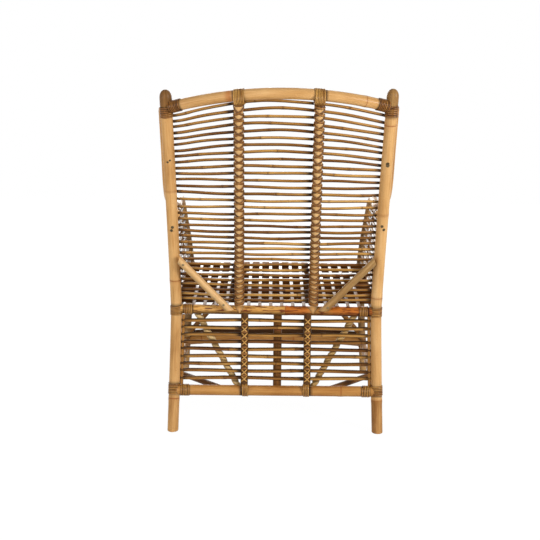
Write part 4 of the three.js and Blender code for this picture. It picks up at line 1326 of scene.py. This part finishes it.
    def plait(self, work: PeelWork, way: Way, middles: Sequence[float], hand: float,
              lift: float, tone: float) -> None:
        """Laces one strand up a rib: slanting over its rear at each slat, level through each gap.

        Args:
            work: the piece that takes the strand.
            way: the rib's centre line.
            middles: where the gaps between slats lie along the rib.
            hand: 1 or -1, the slant over the rear.
            lift: how far it rides over the other strand where they cross.
            tone: how pale it is.
        """
        runs, turns, lifts = [], [], []
        half = math.radians(100.0)
        thick = self.lash_thick
        for index, (low, high) in enumerate(zip(middles, middles[1:])):
            t = np.linspace(0.0, 1.0, 13)
            runs.append(low + (high - low) * t ** 1.9)
            turns.append(hand * (-half + 2 * half * t) + hand * index * 2 * math.pi)
            lifts.append(lift * np.sin(math.pi * t))
            level = np.linspace(0.0, 1.0, 7)[1:-1]
            runs.append(np.full(5, high))
            turns.append(hand * (half + (2 * math.pi - 2 * half) * level)
                         + hand * index * 2 * math.pi)
            lifts.append(np.full(5, 0.5 if hand > 0 else 0.0))
        reach = self.rib_radius + thick / 2 + np.concatenate(lifts)
        run = np.concatenate(runs)
        places, out = way.around(run, np.concatenate(turns), reach)
        fuller = np.clip((self.full_below - places[:, 2]) / self.full_over, 0.0, 1.0)
        fuller *= 1.0 if lift > 1.0 else -0.4
        chance = np.random.default_rng(47 + round(hand))
        shades = np.interp(run, np.asarray(middles), chance.uniform(-0.14, 0.14, len(middles)))
        work.strand(places, out, self.lash_width + 2.6 * fuller, thick,
                    tone + 0.05 * fuller + shades, edge=1.0)

    def build_tongue(self, side: str) -> None:
        """Lays the tapered tongue of a rib's foot on the rear of the seat rail."""
        s = SIDES[side]
        turn = np.radians(np.linspace(62.0, -20.0, 14))
        out = np.stack([np.zeros(14), np.cos(turn), np.sin(turn)], axis=1)
        spots = np.array([s * PLAN.rib_foot_x, 0.0, PLAN.seat_z]) + out * self.tongue_reach
        work = PeelWork("rib_tongue_" + side)
        work.strand(spots, out, np.linspace(38.0, 3.0, 14), 3.4, 0.62, edge=0.9)
        work.lay(finish=Finish.POLE, slot=Slot.HONEY)

    def tie(self, work: PeelWork, row: int, s: float) -> None:
        """Ties one slat to a rib with a short strand over its front.

        Args:
            work: the piece that takes the strand.
            row: the slat's row.
            s: 1 for the left rib, -1 for the right one.
        """
        way = self.slat(row)
        run = way.run_at(0, s * PLAN.rib_x)
        turn = np.linspace(math.radians(52.0), math.radians(308.0), 9)
        for shift in (-2.2, 2.2):
            places, out = way.around(run + shift + np.zeros(9), turn, self.slat_radius + 0.7)
            work.strand(places, out, 3.6, 1.3, 0.5)

    def build_brace(self, side: str) -> None:
        """Builds one brace across the post and the seat rail, its ends cut to lie along them."""
        s = SIDES[side]
        foot, top = PLAN.brace_ends(s)
        along = (top - foot) / np.linalg.norm(top - foot)
        extra = along * self.brace_extra
        way = Way([foot - extra, top + extra])
        # The brace's underside is painted in shade.
        brace = self.bench.cane("back_brace_cane_" + side, way, CaneCut(
            self.brace_radius, tone=0.92 if s > 0 else 1.0, joints=(), under=0.35, seed=51))
        for spot, normal in ((top - along * 4.0, (s, 0.0, 0.35)), (foot + along * 5.3, DOWN)):
            trim(brace, (spot + REAR_SHIFT) * METRE, normal)
        dress(brace, Finish.POLE if s > 0 else Finish.EAR, Slot.PALE, "back_brace_" + side)


@dataclass
class SkirtPanel:
    """The lower rear panel: nine slats on two ribs, the centre strut and two wrapped braces."""

    bench: Bench
    stretcher: Way
    stretcher_radius: float
    slat_radius: float = 5.55
    rib_radius: float = 11.2
    rib_inset: float = 5.6
    rib_span: tuple[float, float] = (135.0, 359.0)
    lace_radius: float = 6.2
    lace_set: float = 10.8
    strap_half: float = 9.0
    strut_radius: float = 12.8
    strut_x: float = -5.0
    strut_set: float = 18.1
    brace_radius: float = 4.8
    brace_foot_x: float = 110.5
    brace_top_x: float = 247.0
    brace_set: float = 14.98
    # Painted shadows on the slats: beside each rib on its left, and inside each post.
    shadow_beside: float = 14.0
    shadow_posts: tuple[float, float] = (282.0, -278.0)
    twist_pitch: float = 36.0
    twist_width: float = 13.5
    twist_thick: float = 9.8

    def rib(self, side: str, inset: float = 0.0) -> Way:
        """Returns a lower rib's line, from the stretcher up to the seat rail.

        Args:
            side: left or right.
            inset: how far it lies in front of the middle of the lacing.

        Returns:
            The line.
        """
        s = SIDES[side]
        set_back = self.lace_set - inset
        return Way.of_law(lambda z: (s * PLAN.low_rib_x, PLAN.post_y(z) + set_back, z),
                          *self.rib_span)

    def brace(self, side: str) -> Way:
        """Returns a base brace's centre line."""
        s = SIDES[side]

        def law(z: float) -> tuple[float, float, float]:
            """Returns the brace's point at a height."""
            share = (z - PLAN.low_z) / (PLAN.seat_z - PLAN.low_z)
            return (s * mix(self.brace_foot_x, self.brace_top_x, share),
                    PLAN.post_y(z) - self.brace_set, z)
        return Way.of_law(law, PLAN.low_z, PLAN.seat_z)

    def build(self) -> None:
        """Builds and dresses the lower panel."""
        chance = Random(61)
        # Painted shadows of the ribs and the posts on the slats, and painted shade on the slats'
        # tops under the seat.
        beside = (PLAN.low_rib_x + self.shadow_beside, -PLAN.low_rib_x + self.shadow_beside)
        shade_paint = shadow_at(beside + self.shadow_posts, 12.0, 0.9)
        slats = []
        for row in range(PLAN.low_rows):
            z = PLAN.low_slat_z(row)
            half = PLAN.post_x(z) - 16.0
            line = Way.of_law(lambda x: (
                x, PLAN.post_y(z), z + 1.3 * math.sin(x / 57.0 + 2.3 * row)), half, -half)
            slats.append(self.bench.cane("low_slat_%d" % row, line, CaneCut(
                self.slat_radius, Grain.SLAT, tone=chance.uniform(0.12, 0.62), patchy=0.2,
                joint_gap=(120.0, 300.0), swell=0.10, painted_shade=shade_paint, over=0.97 - 0.03 * row,
                seed=140 + row)))
        dress(joined("skirt_slats", slats), Finish.SLAT, Slot.HONEY, "lower_rear_panel")
        strut = Way.of_law(lambda z: (self.strut_x, PLAN.post_y(z) - self.strut_set, z),
                           PLAN.low_z, PLAN.seat_z)
        self.bench.lay("centre_strut", strut, CaneCut(self.strut_radius, tone=0.12, seed=63),
                       Finish.SHADE, Slot.DARK, "rear_centre_strut")
        for side in SIDES:
            self.build_side(side)

    def build_side(self, side: str) -> None:
        """Builds one lower rib with its lashing, and one wrapped brace."""
        s = SIDES[side]
        way = self.rib(side)
        # The rib's core is painted in shade, so that it shows dark between its lashing strands.
        self.bench.lay("skirt_rib_" + side, self.rib(side, self.rib_inset), CaneCut(
            self.rib_radius, tone=0.3, painted_shade=0.75, seed=65), Finish.SLAT, Slot.HONEY)
        work = PeelWork("skirt_lash_" + side)
        for row in range(PLAN.low_rows):
            run = way.run_at(2, PLAN.low_slat_z(row))
            for hand, lift in ((1.0, 1.6), (-1.0, 0.0)):
                t = np.linspace(-1.0, 1.0, 13)
                places, out = way.around(run + 9.5 * t, hand * (t + 0.75 * t ** 3),
                                         self.lace_radius + 1.6 + lift * (1 - t * t))
                work.strand(places, out, 3.8, 2.6, 1.2, edge=0.6)
            if row:
                work.coil(way, run + 8.4, run + 13.4, self.lace_radius, pitch=3.9, width=3.9,
                          thick=2.6, tone=0.45, seed=70 + row)
        work.lay("lower_rib_lashing_" + side)
        strap = PeelWork("stretcher_strap_" + side)
        middle = self.stretcher.run_at(0, s * PLAN.low_rib_x)
        strap.coil(self.stretcher, middle - self.strap_half, middle + self.strap_half,
                   self.stretcher_radius, pitch=4.5, width=4.2, thick=2.6, tone=0.8, seed=81,
                   sag=(-0.9, 9.0))
        strap.lay("lower_rib_strap_" + side)
        line = self.brace(side)
        self.bench.lay("base_brace_cane_" + side, line, CaneCut(
            self.brace_radius, tone=0.3, seed=83), Finish.SHADE, Slot.HONEY, "base_brace_" + side)
        twist = PeelWork("base_twist_" + side, corners=12)
        turns = line.length / self.twist_pitch
        t = np.linspace(0.0, 1.0, int(turns * 24))
        for start in (0.0, math.pi):
            places, out = line.around(line.length * t, start - s * t * turns * 2 * math.pi,
                                      self.brace_radius + 0.4)
            twist.strand(places, out, self.twist_width, self.twist_thick,
                         0.8 if s > 0 else 0.55, edge=0.7)
        twist.lay("base_brace_wrap_" + side, finish=Finish.TWIST)


@dataclass
class SideFrame:
    """One side: the arm pole down to its foot, the wing, the rails and the canes under the arm."""

    bench: Bench
    side: str
    arm_radius: float = 13.0
    wing_radius: float = 11.0
    rail_radius: float = 13.0
    low_radius: float = 12.0
    cane_radius: float = 4.5
    upright_radius: float = 5.0
    rows: int = 9
    row_low: float = 424.0
    row_pitch: float = 24.5
    upright_depths: tuple[float, ...] = (190.2, 415.0)
    low_front_z: float = 117.0

    def place(self, spot: Sequence[float]) -> tuple[float, float, float]:
        """Returns a point of the left side on this side."""
        return (SIDES[self.side] * spot[0], spot[1], spot[2])

    def arm(self) -> Way:
        """Returns the arm pole's centre line, from the post to the front foot."""
        spots = [PLAN.arm_spot(t) for t in np.linspace(0.0, 1.0, 90, endpoint=False)]
        spots += [PLAN.bend_spot(t) for t in np.linspace(0.0, 1.0, 30, endpoint=False)]
        spots += [(PLAN.leg_x(z), PLAN.leg_y, z)
                  for z in np.linspace(PLAN.bend_z, -PLAN.foot_extra, 90)]
        return Way([self.place(spot) for spot in spots])

    def wing(self) -> Way:
        """Returns the wing's centre line, beside the post and then forward on to the arm."""
        knots = [(PLAN.post_x(z) + 13.5, PLAN.post_y(z) - 22.45, z)
                 for z in (966.0, 850.5, 735.0)]
        for y, outset, rise in ((-7.6, 20.0, 34.0), (-95.0, 0.0, 11.0), (-190.0, 0.0, 0.0)):
            x, at, z = PLAN.arm_at(y)
            knots.append((x + outset, at, z + rise))
        return Way.through([self.place(knot) for knot in knots])

    def build(self) -> None:
        """Builds and dresses the side."""
        side, bench = self.side, self.bench
        # The front leg is painted in shade, most between 200 and 520 mm up.
        arm = bench.cane("arm_" + side, self.arm(), CaneCut(
            self.arm_radius, Grain.POLE, tone=0.55, seed=91, joints=(190.0, 480.0, 830.0, 1130.0),
            painted_shade=lambda p: np.where(p[:, 1] < -450.0, np.interp(
                p[:, 2], (60.0, 200.0, 520.0, 660.0), (0.2, 0.7, 0.7, 0.0)), 0.0)))
        trim(arm, FLOOR, DOWN, PLAN.foot_rounding)
        dress(arm, Finish.POLE, Slot.PALE, "arm_pole_" + side)
        bench.lay("wing_" + side, self.wing(), CaneCut(
            self.wing_radius, Grain.POLE, ends=(8.0, 10.0), domes=(9.0, 9.0), tone=0.4, seed=93),
            Finish.POLE, Slot.PALE, "wing_rail_" + side)
        rail = Way([self.place(PLAN.side_rail(y)) for y in (0.0, PLAN.leg_y)])
        bench.lay("side_rail_" + side, rail, CaneCut(self.rail_radius, tone=0.45, seed=95),
                  Finish.RAIL, Slot.HONEY, "side_seat_rail_" + side)
        low = Way([self.place((PLAN.post_x(PLAN.low_z), PLAN.post_y(PLAN.low_z), PLAN.low_z)),
                   self.place((PLAN.leg_x(self.low_front_z), PLAN.leg_y, self.low_front_z))])
        bench.lay("side_low_" + side, low, CaneCut(self.low_radius, tone=0.45, seed=97),
                  Finish.RAIL, Slot.HONEY, "side_stretcher_" + side)
        self.build_canes()
        self.bind()

    def front_spot(self, z: float) -> tuple[float, float]:
        """Returns where the front leg or its bend stands at a height."""
        if z <= PLAN.bend_z:
            return PLAN.leg_x(z), PLAN.leg_y
        turn = math.acos((z - PLAN.bend_z) / (PLAN.arm_front_z - PLAN.bend_z))
        return PLAN.bend_spot(turn / (math.pi / 2))[:2]

    def build_canes(self) -> None:
        """Builds the level canes under the arm and their uprights."""
        chance = Random(17)
        # The side canes are painted in shade underneath and more towards the front; the right
        # side's canes, towards the key light, are painted paler and get half of it.
        lit_right = 1.0 if self.side == "right" else 0.0
        shade_paint = 0.6 - 0.3 * lit_right
        canes = []
        for row in range(self.rows):
            z = self.row_low + self.row_pitch * row
            x, y = self.front_spot(z)
            way = Way([self.place((PLAN.post_x(z), PLAN.post_y(z), z)), self.place((x, y, z))])
            canes.append(self.bench.cane("side_cane_%d" % row, way, CaneCut(
                self.cane_radius, Grain.SLAT, tone=chance.uniform(0.0, 0.6) + 0.4 * lit_right,
                patchy=0.2, joint_gap=(140.0, 320.0), swell=0.1, under=0.85, seed=170 + row,
                painted_shade=lambda p: shade_paint * np.clip((-p[:, 1] - 150.0) / 300.0, 0.0, 1.0))))
        outset = self.cane_radius + self.upright_radius - 0.6
        for depth in self.upright_depths:
            x, y, z = PLAN.side_rail(-depth)
            knots = [(x + outset, y, z)]
            for row in (0, 4, 8):
                z = self.row_low + self.row_pitch * row
                x, y = self.front_spot(z)
                share = (PLAN.post_y(z) + depth) / (PLAN.post_y(z) - y)
                knots.append((mix(PLAN.post_x(z), x, share) + outset, -depth, z))
            knots.append(PLAN.arm_at(-depth))
            way = Way.through([self.place(knot) for knot in knots])
            canes.append(self.bench.cane("side_upright", way, CaneCut(
                self.upright_radius, Grain.SLAT, tone=0.4, seed=190)))
        dress(joined("side_canes_" + self.side, canes), Finish.SHADE, Slot.DARK,
              "side_panel_" + self.side)

    def bind(self) -> None:
        """Winds peel where the arm meets the post and where the front leg meets its rails."""
        arm = self.arm()
        work = PeelWork("arm_wraps_" + self.side)
        leg = arm.length
        for start, end in ((20.0, 48.0), (leg - 428.0, leg - 392.0), (leg - 146.0, leg - 112.0)):
            work.coil(arm, start, end, self.arm_radius, tone=0.5, seed=int(start) % 97)
        work.lay()


@dataclass
class FrontFrame:
    """The bowed front rail and stretcher, the front braces and the corner braces."""

    bench: Bench
    rail_radius: float = 13.0
    low_radius: float = 17.0
    upper_radius: float = 11.0
    brace_radius: float = 9.0
    brace_foot: float = 138.0
    brace_top_x: float = 96.0
    corner_reach: float = 155.0

    def rail(self) -> Way:
        """Returns the front seat rail's centre line."""
        half = PLAN.leg_seat_x
        return Way.of_law(lambda x: (x, PLAN.front_y(x), PLAN.front_rail_z), half, -half)

    def stretcher(self) -> Way:
        """Returns the front stretcher's centre line."""
        half = PLAN.leg_x(PLAN.front_low_z)
        return Way.of_law(lambda u: (half * u, PLAN.leg_y - PLAN.low_bow * (1 - u * u),
                                     PLAN.front_low_z), 1.0, -1.0)

    def build(self) -> None:
        """Builds and dresses the front."""
        bench, low = self.bench, self.stretcher()
        bench.lay("front_rail", self.rail(), CaneCut(
            self.rail_radius, Grain.POLE, tone=0.5, seed=201),
            Finish.RAIL, Slot.HONEY, "front_seat_rail")
        bench.lay("front_low", low, CaneCut(self.low_radius, Grain.POLE, tone=0.42, seed=203),
                  Finish.RAIL, Slot.HONEY, "front_stretcher")
        # A thin cane on the front stretcher, painted in deep shade.
        upper = Way(low.spots + np.array([0.0, 0.0, self.low_radius + self.upper_radius - 0.5]))
        bench.lay("front_low_upper", upper, CaneCut(
            self.upper_radius, tone=0.0, painted_shade=0.6, seed=209), Finish.SHADE, Slot.DARK)
        x, y = PLAN.post_x(PLAN.low_z), PLAN.post_y(PLAN.low_z)
        for side, s in SIDES.items():
            brace = Way([(s * PLAN.leg_x(self.brace_foot), PLAN.leg_y, self.brace_foot),
                         (s * self.brace_top_x, PLAN.front_y(self.brace_top_x),
                          PLAN.front_rail_z)])
            bench.lay("front_brace_cane_" + side, brace, CaneCut(
                self.brace_radius, tone=0.45, seed=205),
                Finish.SHADE, Slot.DARK, "front_brace_" + side)
            corner = Way([(s * (x - self.corner_reach), y, PLAN.low_z),
                          (s * x, y - self.corner_reach, PLAN.low_z)])
            bench.lay("corner_brace_cane_" + side, corner, CaneCut(
                self.brace_radius, tone=0.25, seed=207),
                Finish.SHADE, Slot.DARK, "corner_brace_" + side)


@dataclass
class SeatDeck:
    """The open seat: dark cross slats under pale glossy strips that run from back to front."""

    bench: Bench
    strips: int = 16
    rear_pitch: float = 33.2
    front_pitch: float = 36.0
    strip_half: float = 5.2
    strip_thick: float = 2.4
    slat_half: float = 16.0
    slat_thick: float = 6.0
    rows: tuple[float, ...] = (61.0, 96.0, 131.0, 166.0, 216.0, 251.0, 286.0, 321.0, 369.0,
                               459.0, 494.0, 528.0)
    strip_rear: float = 6.0
    # Painted shade on the strips, darker towards the back, where the back shadows them.
    rear_shade_depths: tuple[float, ...] = (-255.0, -200.0, -80.0)
    rear_shade_marks: tuple[float, ...] = (0.0, 0.87, 0.94)

    def build(self) -> None:
        """Builds and dresses the seat."""
        chance = Random(29)
        slats = []
        for row, depth in enumerate(self.rows):
            z = PLAN.seat_top(-depth) - self.slat_thick / 2 - 0.3
            half = PLAN.side_rail(-depth)[0] + 4.0
            way = Way([(half, -depth, z), (-half, -depth, z)])
            slats.append(self.bench.cane("cross_slat_%02d" % row, way, CaneCut(
                self.slat_half, Grain.STRIP, flat=self.slat_thick / 2 / self.slat_half,
                square=0.6, tone=chance.uniform(0.0, 0.35), swell=0.0, upright=True,
                seed=220 + row)))
        dress(joined("seat_slats", slats), Finish.SEAT, Slot.HONEY, "seat_deck")
        strips = []
        lift = self.strip_thick / 2 + 0.1
        for index in range(self.strips):
            place = index - (self.strips - 1) / 2
            rear, front = place * self.rear_pitch, place * self.front_pitch
            end = PLAN.front_y(front)
            way = Way([(rear, self.strip_rear, PLAN.seat_top(self.strip_rear) + lift),
                       (front, end, PLAN.seat_top(end) + lift)])
            strips.append(self.bench.cane("strip_%02d" % index, way, CaneCut(
                self.strip_half, Grain.STRIP, flat=self.strip_thick / 2 / self.strip_half,
                square=0.6, tone=chance.uniform(0.55, 0.85), swell=0.0, upright=True,
                seed=240 + index,
                painted_shade=lambda p: np.interp(p[:, 1], self.rear_shade_depths, self.rear_shade_marks))))
        dress(joined("seat_strips", strips), Finish.STRIP, Slot.HONEY)


@dataclass
class NailPlugs:
    """Grey plugs over the nails in the posts and in the ends of the back braces."""

    bench: Bench
    small: float = 3.6
    post_reach: float = 14.8
    brace_reach: float = 9.7
    places: dict[str, tuple[tuple[float, float, float], ...]] = field(default_factory=lambda: {
        "left": ((816.5, -0.16, 3.4), (819.5, 0.26, 3.0),
                 (628.0, 0.07, 4.6), (615.0, -0.12, 4.6)),
        "right": ((813.0, -0.02, 4.8), (805.0, 0.0, 5.2),
                  (630.0, -0.14, 4.4), (623.5, 0.23, 4.4))})
    brace_shares: dict[str, tuple[float, ...]] = field(default_factory=lambda: {
        "left": (0.13, 0.90), "right": (0.10,)})

    def build(self) -> None:
        """Builds and dresses the plugs."""
        plugs = []
        for side, s in SIDES.items():
            post = Way.of_law(lambda z: (s * PLAN.post_x(z), PLAN.post_y(z), z), 0.0, 1000.0)
            for z, turn, radius in self.places[side]:
                spot, out = post.around(np.array([post.run_at(2, z)]), np.array([turn]),
                                        self.post_reach)
                plugs.append(self.plug(spot[0], out[0], 300 + round(z), radius, 0.4))
            foot, top = (end + REAR * self.brace_reach for end in PLAN.brace_ends(s))
            for share in self.brace_shares[side]:
                plugs.append(self.plug(mix(foot, top, share), REAR, 320, self.small, 1.0))
        dress(joined("nail_plugs", plugs), Finish.PLUG, Slot.DARK)

    def plug(self, spot: np.ndarray, out: np.ndarray, seed: int, radius: float,
             tone: float) -> bpy.types.Object:
        """Returns one plug that stands a little proud of its pole.

        Args:
            spot: a point just under the pole's skin.
            out: the direction out of the pole.
            seed: picks the plug's own marks.
            radius: the plug's radius.
            tone: how pale it is.

        Returns:
            The plug.
        """
        return self.bench.cane("plug", Way([spot, spot + out * 2.7], step=0.5), CaneCut(
            radius, Grain.STRIP, tone=tone, ends=(0.2, 0.9), domes=(0.2, 1.6), joints=(),
            seed=seed))


@dataclass
class Studio:
    """The plain floor, the soft light and the camera of the photograph."""

    eye: tuple[float, float, float] = (0.020, 2.498, 0.910)
    pitch: float = 10.4
    roll: float = 0.57
    focal: float = 782.0
    frame_size: float = 540.0
    sensor: float = 36.0
    lights: tuple[tuple[Any, ...], ...] = (
        ("key_right", (-2.4, 2.0, 1.3), (0.0, 0.25, 0.6), 0.8, 76.0),
        ("fill_front", (0.9, 3.1, 1.2), (0.0, 0.25, 0.6), 1.6, 36.0),
        ("kick_left", (1.5, 1.2, 0.9), (0.3, 0.25, 0.6), 0.7, 9.0),
        ("top", (0.0, 0.3, 3.2), (0.0, 0.15, 0.5), 2.0, 6.0),
        ("fill_seat_side", (0.5, -3.0, 1.7), (0.0, -0.2, 0.5), 2.2, 70.0))

    def build(self) -> None:
        """Builds the floor, the world, the lights and the camera."""
        scene = bpy.context.scene
        scene.view_settings.view_transform = "Standard"
        bpy.ops.object.select_all(action="DESELECT")
        bpy.ops.mesh.primitive_plane_add(size=14.0, location=(0.0, 0.0, -0.0008))
        floor = bpy.context.object
        floor.name = "floor"
        floor.data.materials.append(FloorFinish().make())
        floor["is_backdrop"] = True
        self.build_world(scene)
        for light in self.lights:
            self.light(*light)
        self.build_camera(scene)

    @staticmethod
    def build_world(scene: bpy.types.Scene) -> None:
        """Makes a white surround that lights the chair softly."""
        scene.world = bpy.data.worlds.new("studio")
        n = Nodes(scene.world)
        path = n.add("LightPath").outputs
        seen = n.add("Math", {0: path["Is Camera Ray"], 1: path["Is Glossy Ray"]},
                     operation="MAXIMUM")
        level = n.add("Math", {0: seen, 1: 0.87, 2: 0.13}, operation="MULTIPLY_ADD")
        shade = n.add("Background", {"Color": linear("#ffffff"), "Strength": level})
        n.add("OutputWorld", {0: shade})

    @staticmethod
    def light(name: str, place: Sequence[float], aim: Sequence[float], size: float,
              power: float) -> None:
        """Adds one soft light.

        Args:
            name: what the light is called.
            place: where it hangs.
            aim: the point that it faces.
            size: its width.
            power: its strength in watts.
        """
        bpy.ops.object.select_all(action="DESELECT")
        bpy.ops.object.light_add(type="AREA", location=place)
        lamp = bpy.context.object
        lamp.name = name
        lamp.data.size = size
        lamp.data.energy = power
        toward = np.asarray(aim) - np.asarray(place)
        flat = math.hypot(toward[0], toward[1])
        lamp.rotation_euler = (math.atan2(flat, -toward[2]), 0.0,
                               math.atan2(-toward[0], toward[1]))

    def build_camera(self, scene: bpy.types.Scene) -> None:
        """Sets the camera where the photograph was taken from."""
        bpy.ops.object.camera_add(location=self.eye)
        camera = bpy.context.object
        camera.name = "photo_camera"
        camera.rotation_mode = "QUATERNION"
        turn = Euler((math.radians(90.0 - self.pitch), 0.0, math.radians(180.0))).to_quaternion()
        camera.rotation_quaternion = turn @ Quaternion((0.0, 0.0, 1.0), math.radians(self.roll))
        camera.data.sensor_width = self.sensor
        camera.data.lens = self.focal / self.frame_size * self.sensor
        scene.camera = camera


def main() -> None:
    """Builds the chair's sub-assemblies in order, then the studio."""
    logging.basicConfig(level=logging.INFO, format="%(name)s: %(message)s")
    bench = Bench()
    rear = RearFrame(bench)
    rear.build()
    BackPanel(bench, rear.crest(), rear.crest_radius).build()
    SkirtPanel(bench, rear.stretcher(), rear.low_radius).build()
    for side in SIDES:
        SideFrame(bench, side).build()
    FrontFrame(bench).build()
    SeatDeck(bench).build()
    NailPlugs(bench).build()
    bench.clear()
    Studio().build()
    boxes = {"cad": CAD_BOX, "visual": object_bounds()}
    {k: [[float(v) for v in row] for row in box] for k, box in boxes.items()}


if __name__ == "__main__":
    main()
